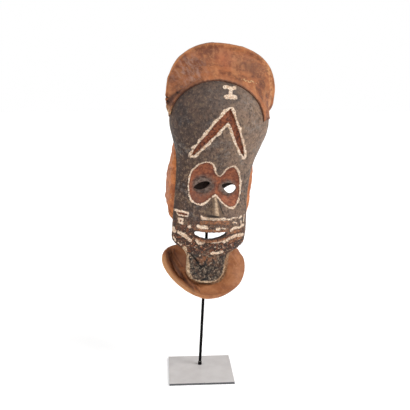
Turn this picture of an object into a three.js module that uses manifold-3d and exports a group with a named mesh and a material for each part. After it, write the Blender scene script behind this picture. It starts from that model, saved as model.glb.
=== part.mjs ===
// A dance mask of dark moulded resin and red-brown barkcloth on its display stand.
// Millimetres, +Z up. The stand's origin is under the middle of the base plate, and the front
// is -Y. The mask has a frame of its own: origin between the eyes, +X to the right of someone
// who faces it, +Y to the back of the head and +Z up the face.

import * as THREE from 'three';
import { mergeVertices } from 'three/addons/utils/BufferGeometryUtils.js';
import Module from 'manifold-3d';

const wasm = await Module();
wasm.setup();

// Stand
const PLATE_SIDE = 140;
const PLATE_THICK = 5.3;
const PLATE_BEVEL = 0.5;
const ROD_DIAMETER = 6.4;
const ROD_BACK = 22.7;
const ROD_LEAN = THREE.MathUtils.degToRad(2.87);
const ROD_TIP = 705.4;
const ROD_CHAMFER = 1.5;
const SOCKET_DIAMETER = 8.2;
const SOCKET_HEIGHT = 8;
const SOCKET_CHAMFER = 1;
const ROUND_SIDES = 16;

// Mask: where its eyes are, how far it turns to the right and how far it leans over
const EYE_POINT = new THREE.Vector3(29.2, -31, 422.1);
const MASK_TURN = THREE.MathUtils.degToRad(12.5);
const MASK_LEAN = THREE.MathUtils.degToRad(7);
const GAP = 0.3;

// Face shell: depth of its front and of its rear edge, half width and roundness, by height
const FACE_TOP = 222;
const FACE_BOTTOM = -202;
const SHELL_WALL = 8.5;
const FRONT_DEPTH = [[-203, -10], [-170, -8], [-140, -6], [-110, -10], [-85, -13], [-60, -14],
  [-35, -8], [-10, -3], [10, -3], [30, -8], [60, -22], [95, -35], [133, -43], [165, -40],
  [190, -29], [205, -18], [215, -8], [222, 0]];
const REAR_DEPTH = [[-203, 6], [-150, 6], [-125, 8], [-95, 6], [-60, 12], [-20, 20], [40, 24],
  [90, 26], [140, 26], [175, 20], [200, 10], [222, 2]];
const CHEEK_WIDTH = [[-150, 42], [-138, 50], [-128, 66], [-116, 77], [-100, 80], [-60, 80],
  [-20, 79], [30, 81], [60, 85], [90, 95], [115, 104], [135, 107]];
const ROUNDNESS = [[-200, 3.2], [-120, 2.8], [-20, 2.6], [40, 2.4], [90, 2.1], [222, 2]];
const ARCH = { low: 135, height: 87, width: 107, steps: 6, reach: 86 };
const CHIN = { high: -168, height: 35, width: 41 };

// Rows of the face as zones from a low to a high place, each in a number of steps, and how much
// closer together its columns are in the middle
const FACE_ROWS = [[FACE_BOTTOM, -178, 4], [-178, -125, 5], [-125, -52, 14], [-52, 56, 16],
  [56, ARCH.low, 6]];
const FACE_COLUMNS = 32;
const COLUMN_CROWDING = 0.26;

// Hollow behind the face: its lowest place, how far back it is cut, its least half width and how
// much closer together its rows are at the top
const CAVITY = { bottom: -114, back: 70, narrow: 3, columns: 16, levels: 18, crowding: 1.3 };

// Carving on the face
const ORBIT = { x: 27, z: 6, wide: 31.5, tall: 46, deep: 5.5, slope: 0.85 };
const EYELID = { x: 27, z: 1, wide: 20, tall: 17, high: 6 };
const NOSE = { top: -14, base: -59, root: 3, wing: 22, low: 2, high: 16, under: 4, ridge: 1.25 };
const MOUTH = { x: -2, z: -100, smile: 0.0065, wide: 47, tall: 20, lip: 4.5, edge: 0.6, open: 38,
  gape: 9, round: 0.8, steps: 8 };
const CHIN_STEP = { z: -141, high: 3.5, blend: 5 };
const GROOVE = { depth: 4.5, low: 40, columns: 22, levels: 14 };
const GROOVE_LEFT = [[0, 164], [-8, 157], [-27, 133], [-40, 109], [-51, 91], [-59, 74],
  [-61, 63], [-56, 63], [-44, 82], [-32, 99], [-18, 118], [-4, 138]];
const GROOVE_RIGHT = [[0, 164], [-5, 139], [2, 133], [14, 112], [26, 93], [39, 77], [47, 71],
  [46, 78], [39, 92], [27, 114], [16, 134], [7, 151]];
const EYE_LEFT = [[-45, -4], [-37, 4], [-27, 9], [-17, 9.5], [-11, 7], [-19, -1], [-29, -6],
  [-38, -7]];
const EYE_RIGHT = [[14, 5], [22, 10], [32, 11], [42, 8], [48, 1], [43, -8], [33, -11], [22, -5]];
const CUT_FRONT = -80;
const CUT_BACK = 40;

// Hood brim: where it meets the forehead, and the hoop of its rim
const WELT = { x: -13, z: 135, wide: 93, high: 81, first: 2, last: 173 };
const HOOP = { z: 195, depth: 45, left: 113.5, right: 119, top: 98.5, foot: 115,
  leftPower: 2.2, rightPower: 2.5, footPower: 5, footMost: 0.6, first: -34, last: 203 };
const BRIM_DISH = { left: 15, right: 9 };
const BRIM_OFF = 1.5;
const BRIM_SHORT = 30;
const BRIM_LONG = 250;
const BRIM_THICKNESS = [[0, 2], [0.04, 5.5], [0.09, 6], [0.16, 4.4], [0.3, 3.6], [0.84, 3.6],
  [0.9, 6.6], [0.95, 8.6], [0.985, 7], [1, 2]];
const BRIM_STEPS = 24;
const BRIM_ROWS = [0, 0.04, 0.09, 0.16, 0.34, 0.54, 0.74, 0.88, 0.95, 0.985, 1];

// Back cloth: half width and depth of the head behind the face, by height
const BACK = { wall: 3.5, top: 290, side: 40, arch: 14, flank: 0.25, round: 0.9 };
const SIDE_WIDTH = [[-90, 82], [-40, 85], [20, 88], [60, 84], [100, 82], [125, 88], [150, 98],
  [195, 110]];
const BACK_DEPTH = [[-90, 146], [0, 150], [60, 150], [120, 147], [180, 135], [230, 112],
  [262, 88], [280, 68], [290, 54]];

// Where the back cloth passes behind the rim, and how far in from the rim, from the edge of the
// cheek and behind either it stays
const BACK_TUCK = { left: 133, right: 150, blend: 22, rim: 5, edge: 3.5, cheek: 3, behind: 0.5 };
const HEM = [[-1, -78], [-0.72, -52], [-0.35, -36], [0, -42], [0.3, -28], [0.5, -6],
  [0.75, -26], [1, -58]];
const BACK_AROUND = 20;
const BACK_LEVELS = [0, 0.15, 0.3, 0.45, 0.55, 0.6, 0.65, 0.73, 0.81, 0.88, 0.94, 0.98, 1];

// Collar: the hoop of its rim, and the edge under the chin that it starts from
const COLLAR = { x: 1, z: -165, depth: 15, slope: 0.78, wide: 90, low: 64, high: 55,
  first: -24, last: 205, leftPower: 1.6, rightPower: 2 };
const COLLAR_ROOT = { inset: 6, behind: 2.3, jaw: -127, corner: 2 / 3 };
const COLLAR_VALLEY = { deep: 22, from: 40, to: 110 };
const COLLAR_PILLOW = { high: 9, from: 100, to: 150 };
const COLLAR_CREST = 1.45;
const COLLAR_THICKNESS = [[0, 3.6], [0.8, 3.6], [0.88, 6.5], [0.94, 8.6], [0.98, 7], [1, 2]];
const COLLAR_STEPS = 24;
const COLLAR_ROWS = [0, 0.2, 0.42, 0.62, 0.78, 0.88, 0.94, 0.98, 1];

const RESIN = new THREE.MeshStandardMaterial({ color: 0x4b4440, roughness: 0.75, metalness: 0 });
const HOOD_CLOTH = new THREE.MeshStandardMaterial({ color: 0x9c5a3c, roughness: 0.9, metalness: 0 });
const SIDE_CLOTH = new THREE.MeshStandardMaterial({ color: 0xb8633a, roughness: 0.9, metalness: 0 });
const COLLAR_RED = new THREE.MeshStandardMaterial({ color: 0xa9633f, roughness: 0.9, metalness: 0 });
const GREY_STEEL = new THREE.MeshStandardMaterial({ color: 0xc4c0be, roughness: 0.45, metalness: 0.6 });
const BLACK_STEEL = new THREE.MeshStandardMaterial({ color: 0x1a1a1c, roughness: 0.5, metalness: 0.4 });

const radians = THREE.MathUtils.degToRad;
const clamp = THREE.MathUtils.clamp;
const smooth = THREE.MathUtils.smoothstep;
const mix = THREE.MathUtils.lerp;

// A smooth curve through pairs of place and value
function curve(points) {
  const last = points.length - 1;
  const slope = (i) => {
    const a = points[Math.max(i - 1, 0)];
    const b = points[Math.min(i + 1, last)];
    return (b[1] - a[1]) / (b[0] - a[0]);
  };
  return (place) => {
    const x = clamp(place, points[0][0], points[last][0]);
    let i = 0;
    while (i < last - 1 && x > points[i + 1][0]) i += 1;
    const step = points[i + 1][0] - points[i][0];
    const t = (x - points[i][0]) / step;
    const bend = t * t * (3 - 2 * t);
    return mix(points[i][1], points[i + 1][1], bend)
      + step * (t * (1 - t) * (1 - t) * slope(i) - t * t * (1 - t) * slope(i + 1));
  };
}

const frontDepth = curve(FRONT_DEPTH);
const rearDepth = curve(REAR_DEPTH);
const cheekWidth = curve(CHEEK_WIDTH);
const roundness = curve(ROUNDNESS);
const brimThickness = curve(BRIM_THICKNESS);
const collarThickness = curve(COLLAR_THICKNESS);
const sideWidth = curve(SIDE_WIDTH);
const backDepth = curve(BACK_DEPTH);
const hemHeight = curve(HEM);

function faceWidth(z) {
  if (z > ARCH.low) {
    return ARCH.width * Math.sqrt(1 - clamp((z - ARCH.low) / ARCH.height, 0, 1) ** 2);
  }
  if (z < CHIN.high) {
    return CHIN.width * Math.cbrt(1 - clamp((CHIN.high - z) / CHIN.height, 0, 1) ** 3);
  }
  const [jaw, wide] = CHEEK_WIDTH[0];
  return z < jaw ? mix(wide, CHIN.width, (jaw - z) / (jaw - CHIN.high)) : cheekWidth(z);
}

// Depth of the plain face at a place on it, before any carving
function facePlain(x, z, inset = 0) {
  const wide = Math.max(faceWidth(z) - inset, 0.1);
  const power = roundness(z);
  const front = frontDepth(z) + inset;
  const rear = rearDepth(z);
  const k = clamp(Math.abs(x) / wide, 0, 1);
  return rear - (rear - front) * (1 - k ** power) ** (1 / power);
}

// How far the carving stands out from the plain face, to the front
function carving(x, z) {
  const side = Math.abs(x);
  const orbit = 1 - ((side - ORBIT.x) / ORBIT.wide) ** 2 - ((z - ORBIT.z) / ORBIT.tall) ** 2;
  const lid = 1 - ((side - EYELID.x) / EYELID.wide) ** 2 - ((z - EYELID.z) / EYELID.tall) ** 2;
  let out = -ORBIT.deep * smooth(orbit, 0, ORBIT.slope) + EYELID.high * Math.sqrt(Math.max(lid, 0));
  const down = (NOSE.top - z) / (NOSE.top - NOSE.base);
  if (down > 0 && z > NOSE.base - NOSE.under) {
    const wing = mix(NOSE.root, NOSE.wing, Math.min(down, 1));
    const flank = Math.min(1, NOSE.ridge * (1 - side / wing));
    const under = clamp((z - NOSE.base + NOSE.under) / NOSE.under, 0, 1);
    out = Math.max(out, mix(NOSE.low, NOSE.high, Math.min(down, 1)) * flank * under);
  }
  const along = x - MOUTH.x;
  const across = z - MOUTH.z - MOUTH.smile * along * along;
  const lips = 1 - (along / MOUTH.wide) ** 2 - (across / MOUTH.tall) ** 2;
  out += MOUTH.lip * smooth(lips, 0, MOUTH.edge);
  return out + CHIN_STEP.high * smooth(CHIN_STEP.z - z, 0, CHIN_STEP.blend);
}

// Solids and meshes
function geometryOf(positions, triangles) {
  const geometry = new THREE.BufferGeometry();
  geometry.setAttribute('position', new THREE.Float32BufferAttribute(positions, 3));
  geometry.setIndex(triangles);
  return geometry;
}

function solidOf(geometry) {
  const bare = geometry.clone();
  bare.deleteAttribute('normal');
  bare.deleteAttribute('uv');
  const merged = mergeVertices(bare, 1e-4);
  const mesh = new wasm.Mesh({
    numProp: 3,
    vertProperties: new Float32Array(merged.attributes.position.array),
    triVerts: new Uint32Array(merged.index.array),
  });
  return new wasm.Manifold(mesh);
}

function geometryFrom(solid) {
  const mesh = solid.getMesh();
  const geometry = geometryOf(Array.from(mesh.vertProperties), Array.from(mesh.triVerts));
  geometry.computeVertexNormals();
  return geometry;
}

function namedMesh(name, geometry, material) {
  const mesh = new THREE.Mesh(geometry, material);
  mesh.name = name;
  return mesh;
}

// A closed solid through level outlines, each closed by a straight line from its last point to
// its first. The outlines go round to the left as seen from above, from the lowest one up.
function loft(rows) {
  const around = rows[0].length;
  const positions = rows.flat().flatMap((p) => [p.x, p.y, p.z]);
  const triangles = [];
  for (let i = 0; i < rows.length - 1; i += 1) {
    for (let j = 0; j < around; j += 1) {
      const a = i * around + j;
      const b = i * around + (j + 1) % around;
      triangles.push(a, b, b + around, a, b + around, a + around);
    }
  }
  const top = (rows.length - 1) * around;
  for (let j = 1; j < around - 1; j += 1) {
    triangles.push(0, j + 1, j, top, top + j, top + j + 1);
  }
  return geometryOf(positions, triangles);
}

// A closed sheet of cloth about a middle surface given as rows of points, with a thickness for
// each row. The outer side is the one that the rows' and columns' cross product points to.
function sheet(rows, thickness) {
  const high = rows.length;
  const wide = rows[0].length;
  const at = (i, j) => rows[clamp(i, 0, high - 1)][clamp(j, 0, wide - 1)];
  const positions = [];
  for (const side of [0.5, -0.5]) {
    for (let i = 0; i < high; i += 1) {
      for (let j = 0; j < wide; j += 1) {
        const along = at(i, j + 1).clone().sub(at(i, j - 1));
        const across = at(i + 1, j).clone().sub(at(i - 1, j));
        const normal = along.cross(across).normalize();
        positions.push(...at(i, j).clone().addScaledVector(normal, side * thickness[i]));
      }
    }
  }
  const inner = high * wide;
  const triangles = [];
  const quad = (a, b, c, d) => triangles.push(a, b, c, a, c, d);
  for (let i = 0; i < high - 1; i += 1) {
    for (let j = 0; j < wide - 1; j += 1) {
      const a = i * wide + j;
      quad(a, a + 1, a + wide + 1, a + wide);
      quad(inner + a, inner + a + wide, inner + a + wide + 1, inner + a + 1);
    }
    const left = i * wide;
    const right = left + wide - 1;
    quad(left, left + wide, inner + left + wide, inner + left);
    quad(right, inner + right, inner + right + wide, right + wide);
  }
  for (let j = 0; j < wide - 1; j += 1) {
    const top = (high - 1) * wide + j;
    quad(j, inner + j, inner + j + 1, j + 1);
    quad(top, top + 1, inner + top + 1, inner + top);
  }
  return geometryOf(positions, triangles);
}

// A column through an outline in the plane of the face
function column(outline) {
  const shape = new THREE.Shape(outline.map(([x, z]) => new THREE.Vector2(x, z)));
  const geometry = new THREE.ExtrudeGeometry(shape, { depth: CUT_BACK - CUT_FRONT, bevelEnabled: false });
  geometry.rotateX(Math.PI / 2);
  geometry.translate(0, CUT_BACK, 0);
  return solidOf(geometry);
}

// Heights of the face's rows
function faceHeights() {
  const heights = FACE_ROWS.flatMap(([low, high, steps]) => Array.from({ length: steps },
    (_, i) => mix(low, high, i / steps)));
  for (let i = 0; i <= ARCH.steps; i += 1) {
    heights.push(ARCH.low + ARCH.height * Math.sin(radians(ARCH.reach * i / ARCH.steps)));
  }
  return heights;
}

// Sideways place of a column, from -1 at the left edge to 1 at the right one
function columnPlace(j) {
  const s = 2 * j / FACE_COLUMNS - 1;
  return Math.sin(radians(90 * s * (1 - COLUMN_CROWDING + COLUMN_CROWDING * s * s)));
}

// The whole of the face as a solid block, grown by a margin
function faceBlock(margin) {
  return solidOf(loft(faceHeights().map((z) => {
    const row = [];
    for (let j = 0; j <= FACE_COLUMNS; j += 1) {
      const place = columnPlace(j);
      const x = place * faceWidth(z);
      const edge = j === 0 || j === FACE_COLUMNS;
      const depth = edge ? rearDepth(z) + margin : facePlain(x, z) - carving(x, z) - margin;
      row.push(new THREE.Vector3(x + place * margin, Math.min(depth, rearDepth(z) + margin), z));
    }
    return row;
  })));
}

// The space behind the face at a given depth under its skin, open to the back
function faceSpace(depth, low, columns, levels) {
  const high = FACE_TOP - depth;
  const rows = [];
  for (let i = 0; i <= levels; i += 1) {
    const z = mix(high, low, (1 - i / levels) ** CAVITY.crowding);
    const lift = (z - low) / (high - low);
    const above = z + depth * clamp(lift * 2 - 1, 0, 1);
    const wide = Math.max(faceWidth(above) - depth, CAVITY.narrow);
    const row = [new THREE.Vector3(-wide, CAVITY.back, z)];
    for (let j = 0; j <= columns; j += 1) {
      const x = wide * Math.sin(radians(-90 + 180 * j / columns));
      row.push(new THREE.Vector3(x, facePlain(x, above, depth), z));
    }
    row.push(new THREE.Vector3(wide, CAVITY.back, z));
    rows.push(row);
  }
  return solidOf(loft(rows));
}

function mouthOutline() {
  const edge = (side) => Array.from({ length: MOUTH.steps }, (_, i) => {
    const turn = Math.PI * i / MOUTH.steps;
    const along = side * MOUTH.open * Math.cos(turn);
    const height = MOUTH.z + MOUTH.smile * along * along;
    const gape = side * MOUTH.gape * Math.sin(turn) ** MOUTH.round;
    return [MOUTH.x + along, height + gape];
  });
  return [...edge(1), ...edge(-1)];
}

function faceShell() {
  const cavity = faceSpace(SHELL_WALL, CAVITY.bottom, CAVITY.columns, CAVITY.levels);
  const floor = faceSpace(GROOVE.depth, GROOVE.low, GROOVE.columns, GROOVE.levels);
  const groove = column(GROOVE_LEFT).add(column(GROOVE_RIGHT)).subtract(floor);
  const shell = faceBlock(0).subtract(cavity).subtract(groove);
  return [EYE_LEFT, EYE_RIGHT, mouthOutline()].reduce(
    (carved, outline) => carved.subtract(column(outline)), shell);
}

const faceEnvelope = faceBlock(GAP);

// A place on the hoop of the rim, at an angle that starts at its left and goes over the top
function hoopPoint(angle) {
  const left = angle < 90;
  const wide = left ? HOOP.left : HOOP.right;
  const power = 2 / (left ? HOOP.leftPower : HOOP.rightPower);
  const out = Math.abs(Math.cos(radians(angle)));
  const up = Math.sin(radians(angle));
  const x = wide * out ** (up < 0 ? 2 / HOOP.footPower : power);
  const z = up < 0 ? HOOP.foot * up : HOOP.top * up ** power;
  return new THREE.Vector3(left ? -x : x, HOOP.depth, HOOP.z + z);
}

// Half width of the hoop at a height, to the left or to the right
function hoopWidth(z, left) {
  const wide = left ? HOOP.left : HOOP.right;
  const power = left ? HOOP.leftPower : HOOP.rightPower;
  if (z < HOOP.z) {
    const down = clamp((HOOP.z - z) / HOOP.foot, 0, HOOP.footMost);
    return wide * (1 - down ** 2) ** (1 / HOOP.footPower);
  }
  return wide * (1 - clamp((z - HOOP.z) / HOOP.top, 0, 1) ** power) ** (1 / power);
}

function weltPoint(angle) {
  const x = WELT.x - WELT.wide * Math.cos(radians(angle));
  const z = WELT.z + WELT.high * Math.sin(radians(angle));
  return new THREE.Vector3(x, facePlain(x, z) - BRIM_OFF, z);
}

// Moves a point that is inside the face straight out to the skin, at its own height
function outOfFace(point) {
  const rear = rearDepth(point.z);
  if (point.y > rear || point.z > FACE_TOP) return;
  const wide = faceWidth(point.z) + BRIM_OFF;
  const deep = rear - frontDepth(point.z) + BRIM_OFF;
  const power = roundness(point.z);
  const size = ((Math.abs(point.x) / wide) ** power + ((rear - point.y) / deep) ** power) ** (1 / power);
  if (size > 1) return;
  point.x /= size;
  point.y = rear - (rear - point.y) / size;
}

// The brim, with a margin on both faces and a reach past its edges
function hoodBrim(margin, reach) {
  const stretch = (t, length) => 0.5 + (t - 0.5) * (1 + 2 * reach / length);
  const rows = BRIM_ROWS.map((place) => {
    const row = [];
    const out = stretch(place, BRIM_SHORT);
    for (let j = 0; j <= BRIM_STEPS; j += 1) {
      const part = stretch(j / BRIM_STEPS, BRIM_LONG);
      const start = weltPoint(mix(WELT.first, WELT.last, part));
      const end = hoopPoint(mix(HOOP.first, HOOP.last, part));
      const point = start.clone().lerp(end, out);
      const dish = mix(BRIM_DISH.left, BRIM_DISH.right, part);
      point.y += dish * Math.sin(Math.PI * out) * Math.sin(Math.PI * part);
      outOfFace(point);
      row.push(point);
    }
    return row;
  });
  return solidOf(sheet(rows, BRIM_ROWS.map((place) => brimThickness(place) + 2 * margin)));
}

// A place on the back cloth, from its left front edge at -1 to its right front edge at 1
function backPoint(place, height) {
  const side = Math.abs(place);
  const rim = hoopWidth(height, place < 0);
  const wide = Math.min(sideWidth(height), rim - BACK_TUCK.rim);
  const tuck = place < 0 ? BACK_TUCK.left : BACK_TUCK.right;
  const arch = smooth(height, tuck, tuck + BACK_TUCK.blend);
  const front = mix(rearDepth(height), HOOP.depth, arch) + BACK_TUCK.behind;
  const edge = mix(faceWidth(height) - BACK_TUCK.cheek, rim - BACK_TUCK.edge, arch);
  const middle = clamp(BACK.side + BACK.arch * arch, front + 1, backDepth(height) - BACK.wall);
  let x = wide;
  let y = middle;
  if (side > 1 - BACK.flank) {
    const k = (side - 1 + BACK.flank) / BACK.flank;
    x = mix(wide, edge, k * k);
    y = mix(middle, front, k);
  } else {
    const angle = radians(90 * side / (1 - BACK.flank));
    x = wide * Math.sin(angle);
    y = mix(middle, backDepth(height), Math.cos(angle) ** BACK.round);
  }
  return new THREE.Vector3(Math.sign(place) * x, y, height);
}

function backCloth() {
  const rows = BACK_LEVELS.map((up) => {
    const row = [];
    for (let j = 0; j <= BACK_AROUND; j += 1) {
      const place = 1 - 2 * j / BACK_AROUND;
      row.push(backPoint(place, mix(hemHeight(place), BACK.top, up)));
    }
    return row;
  });
  return solidOf(sheet(rows, rows.map(() => BACK.wall)));
}

function collarRim(angle) {
  const left = angle < 90;
  const power = 2 / (left ? COLLAR.leftPower : COLLAR.rightPower);
  const out = Math.abs(Math.cos(radians(angle)));
  const down = Math.sin(radians(angle));
  const x = COLLAR.wide * (down < 0 ? out : out ** power);
  const z = COLLAR.z - (down < 0 ? COLLAR.high * down : COLLAR.low * down ** power);
  return new THREE.Vector3(COLLAR.x + (left ? -x : x), COLLAR.depth + COLLAR.slope * (z - COLLAR.z), z);
}

// Where the collar starts, behind the chin and a little inside its sides
function collarRoot(angle) {
  const down = Math.sin(radians(angle));
  const out = Math.abs(Math.cos(radians(angle)));
  let x = (CHIN.width - COLLAR_ROOT.inset) * out ** COLLAR_ROOT.corner;
  let z = CHIN.high - CHIN.height * Math.max(down, 0) ** COLLAR_ROOT.corner;
  if (down < 0) {
    z = mix(CHIN.high, COLLAR_ROOT.jaw, down / Math.sin(radians(COLLAR.first)));
    x = faceWidth(z) - COLLAR_ROOT.inset;
  }
  return new THREE.Vector3(angle < 90 ? -x : x, rearDepth(z) + COLLAR_ROOT.behind, z);
}

function collar() {
  const rows = COLLAR_ROWS.map((out) => {
    const row = [];
    for (let j = 0; j <= COLLAR_STEPS; j += 1) {
      const angle = mix(COLLAR.first, COLLAR.last, j / COLLAR_STEPS);
      const point = collarRoot(angle).lerp(collarRim(angle), out);
      const valley = COLLAR_VALLEY.deep * (1 - smooth(angle, COLLAR_VALLEY.from, COLLAR_VALLEY.to));
      const pillow = COLLAR_PILLOW.high * smooth(angle, COLLAR_PILLOW.from, COLLAR_PILLOW.to);
      point.y += (valley - pillow) * Math.sin(Math.PI * out ** COLLAR_CREST);
      row.push(point);
    }
    return row;
  });
  return solidOf(sheet(rows, COLLAR_ROWS.map(collarThickness)));
}

function basePlate() {
  const half = PLATE_SIDE / 2 - PLATE_BEVEL;
  const corners = [[-half, -half], [half, -half], [half, half], [-half, half]];
  const geometry = new THREE.ExtrudeGeometry(
    new THREE.Shape(corners.map(([x, y]) => new THREE.Vector2(x, y))),
    { depth: PLATE_THICK - 2 * PLATE_BEVEL, bevelThickness: PLATE_BEVEL, bevelSize: PLATE_BEVEL,
      bevelSegments: 1 },
  );
  return geometry.translate(0, 0, PLATE_BEVEL);
}

// A turned piece about its own upright axis, from pairs of radius and height
function turned(profile) {
  const geometry = new THREE.LatheGeometry(
    profile.map(([r, z]) => new THREE.Vector2(r, z)), ROUND_SIDES);
  return geometry.rotateX(Math.PI / 2);
}

function rod() {
  const radius = ROD_DIAMETER / 2;
  const foot = SOCKET_HEIGHT + 2 * GAP;
  return turned([[0, foot], [radius, foot], [radius, ROD_TIP - ROD_CHAMFER],
    [radius - ROD_CHAMFER, ROD_TIP], [0, ROD_TIP]]);
}

function socket() {
  const radius = SOCKET_DIAMETER / 2;
  const top = SOCKET_HEIGHT + GAP;
  return turned([[0, GAP], [radius, GAP], [radius, top - SOCKET_CHAMFER],
    [radius - SOCKET_CHAMFER, top], [0, top]]);
}

const shell = faceShell();
const brim = hoodBrim(0, 0).subtract(faceEnvelope);
const back = backCloth().subtract(faceEnvelope).subtract(hoodBrim(1.5 * GAP, GAP));
const ruff = collar().subtract(faceEnvelope);

const mask = new THREE.Group();
mask.position.copy(EYE_POINT);
mask.rotation.set(0, MASK_LEAN, MASK_TURN, 'ZYX');
mask.add(namedMesh('face_shell', geometryFrom(shell), RESIN));
mask.add(namedMesh('hood_brim', geometryFrom(brim), HOOD_CLOTH));
mask.add(namedMesh('back_cloth', geometryFrom(back), SIDE_CLOTH));
mask.add(namedMesh('collar', geometryFrom(ruff), COLLAR_RED));

const upright = new THREE.Group();
upright.position.set(0, ROD_BACK, PLATE_THICK);
upright.rotation.set(0, ROD_LEAN, 0);
upright.add(namedMesh('rod_socket', socket(), BLACK_STEEL));
upright.add(namedMesh('rod', rod(), BLACK_STEEL));

const part = new THREE.Group();
part.add(namedMesh('base_plate', basePlate(), GREY_STEEL));
part.add(upright);
part.add(mask);

export default part;
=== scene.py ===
"""Looks of the dance mask on its stand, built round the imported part."""

import math
from contextlib import contextmanager
from functools import partial

import bmesh
import bpy
import numpy as np
from mathutils import Euler, Matrix, Vector
from mathutils.kdtree import KDTree


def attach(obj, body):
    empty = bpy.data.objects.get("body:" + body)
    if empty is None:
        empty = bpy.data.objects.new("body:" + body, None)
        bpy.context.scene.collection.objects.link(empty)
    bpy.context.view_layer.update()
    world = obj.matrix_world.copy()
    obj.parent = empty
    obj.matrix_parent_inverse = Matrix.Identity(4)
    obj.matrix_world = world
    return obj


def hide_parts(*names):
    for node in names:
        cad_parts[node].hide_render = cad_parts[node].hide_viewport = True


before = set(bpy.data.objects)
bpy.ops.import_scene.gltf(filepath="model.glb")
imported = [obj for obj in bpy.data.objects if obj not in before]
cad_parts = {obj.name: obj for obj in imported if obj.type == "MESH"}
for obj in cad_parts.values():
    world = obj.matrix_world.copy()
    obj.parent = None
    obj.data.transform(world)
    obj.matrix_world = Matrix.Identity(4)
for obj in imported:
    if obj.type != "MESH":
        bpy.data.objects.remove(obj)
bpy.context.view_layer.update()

# The mask's own frame: millimetres from between the eyes, +X to the viewer's right, +Z up the face
EYE_POINT = Vector((0.0292, -0.031, 0.4221))
MASK_TURN = math.radians(12.5)
MASK_LEAN = math.radians(7)
MASK_PLACE = (
    Matrix.Translation(EYE_POINT)
    @ Matrix.Rotation(MASK_TURN, 4, "Z")
    @ Matrix.Rotation(MASK_LEAN, 4, "Y")
    @ Matrix.Scale(0.001, 4)
)

# Face, by height: depth of its front and of its rear edge, half width and roundness
FACE_TOP = 222
FACE_BOTTOM = -202
SHELL_WALL = 8.5
FRONT_DEPTH = [
    (-203, -10), (-170, -8), (-140, -6), (-110, -10), (-85, -13), (-60, -14), (-35, -8),
    (-10, -3), (10, -3), (30, -8), (60, -22), (95, -35), (133, -43), (165, -40), (190, -29),
    (205, -18), (215, -8), (222, 0),
]
REAR_DEPTH = [
    (-203, 6), (-150, 6), (-125, 8), (-95, 6), (-60, 12), (-20, 20), (40, 24), (90, 26),
    (140, 26), (175, 20), (200, 10), (222, 2),
]
CHEEK_WIDTH = [
    (-150, 42), (-138, 50), (-128, 66), (-116, 77), (-100, 80), (-60, 80), (-20, 79), (30, 81),
    (60, 85), (90, 95), (115, 104), (135, 107),
]
ROUNDNESS = [(-200, 3.2), (-120, 2.8), (-20, 2.6), (40, 2.4), (90, 2.1), (222, 2)]
ARCH_LOW, ARCH_HIGH, ARCH_WIDE = 135, 87, 107
CHIN_TOP, CHIN_HIGH, CHIN_WIDE = -168, 35, 41
CAVITY_BOTTOM, CAVITY_BACK = -114, 70
CUT_FRONT, CUT_BACK = -80, 40
CLOTH_GAP, BRIM_GAP, HOOD_GAP = 0.3, 0.9, 0.4

# Carving
ORBIT_X, ORBIT_Z, ORBIT_WIDE, ORBIT_TALL, ORBIT_DEEP, ORBIT_SLOPE = 27, 6, 31.5, 46, 5.5, 0.85
LID_X, LID_Z, LID_WIDE, LID_TALL, LID_HIGH = 27, 1, 20, 17, 6
NOSE_TOP, NOSE_BASE, NOSE_ROOT, NOSE_WING, NOSE_LOW, NOSE_HIGH = -14, -59, 3, 22, 2, 16
NOSE_STEP, NOSE_ROUND = 4, 1.25
MOUTH_X, MOUTH_Z, MOUTH_SMILE, MOUTH_WIDE, MOUTH_TALL = -2, -100, 0.0065, 47, 20
LIP_HIGH = 4.5
OPEN_X, OPEN_Z, OPEN_SMILE, OPEN_TILT, OPEN_WIDE, OPEN_GAPE = -1.6, -101.4, 0.0057, 0.036, 35.2, 7.5
CHIN_STEP_Z, CHIN_STEP_HIGH = -141, 3.5
GROOVE_DEPTH, GROOVE_FOOT = 4.5, 40
GROOVE = [
    (0, 164), (-8, 157), (-27, 133), (-40, 109), (-51, 91), (-59, 74), (-61, 63), (-56, 63),
    (-44, 82), (-32, 99), (-18, 118), (-3, 138), (2, 133), (14, 112), (26, 93), (39, 77),
    (47, 71), (46, 78), (39, 92), (27, 114), (16, 134), (7, 151),
]
EYE_LEFT = [
    (-45, -4), (-37, 5), (-27, 10), (-17, 10.5), (-11, 7), (-18, -2), (-28, -7.5), (-38, -8),
]
EYE_RIGHT = [(14, 5), (22, 10), (32, 11), (42, 8), (48, 1), (43, -8), (33, -11), (22, -5)]

# Hood brim, from its welt on the forehead out to the hoop that its rim follows
WELT_X, WELT_Z, WELT_WIDE, WELT_HIGH, WELT_FIRST, WELT_LAST = -13, 135, 93, 81, 2, 173
HOOP_Z, HOOP_DEPTH, HOOP_LEFT, HOOP_RIGHT, HOOP_TOP, HOOP_FOOT = 195, 45, 113.5, 119, 98.5, 115
HOOP_FIRST, HOOP_LAST, LEFT_POWER, RIGHT_POWER = -34, 203, 2.2, 2.5
BRIM_DISH, BRIM_OFF, BRIM_LONG, BRIM_WIDE = 12, 1.5, 250, 30
HOOD_COLUMNS, BLOCK_COLUMNS, HOOD_LENGTH, HOOD_WIDTH = 300, 120, 520, 75
BRIM_THICKNESS = [
    (0, 2), (0.04, 5.5), (0.09, 6), (0.16, 4.4), (0.3, 3.6), (0.84, 3.6), (0.9, 6.6),
    (0.95, 8.6), (0.985, 7), (1, 2),
]
HOOD_CREASE = [(-108, 158), (-106, 169), (-100, 178), (-91, 186), (-72, 204), (-54, 213)]
HOOD_STREAK = [(87, 268), (97, 257), (104, 240), (109, 211), (108, 187), (98, 164)]
TEARS = [(30, 223), (38, 224), (45, 222), (53, 223), (62, 220)]
NICKS = [(-112, 171), (-110, 163), (-96, 183)]
HOOD_MARKS = {
    "bloom": ((-78, 226), (30, 30)),
    "warm": ((-5, 258), (15, 24)),
    "dull": ((56, 252), (22, 15)),
    "raw": ((-108, 142), (7, 9)),
}
FAN_X, FAN_Z, FAN_RADIUS = -8, 120, 140

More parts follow.
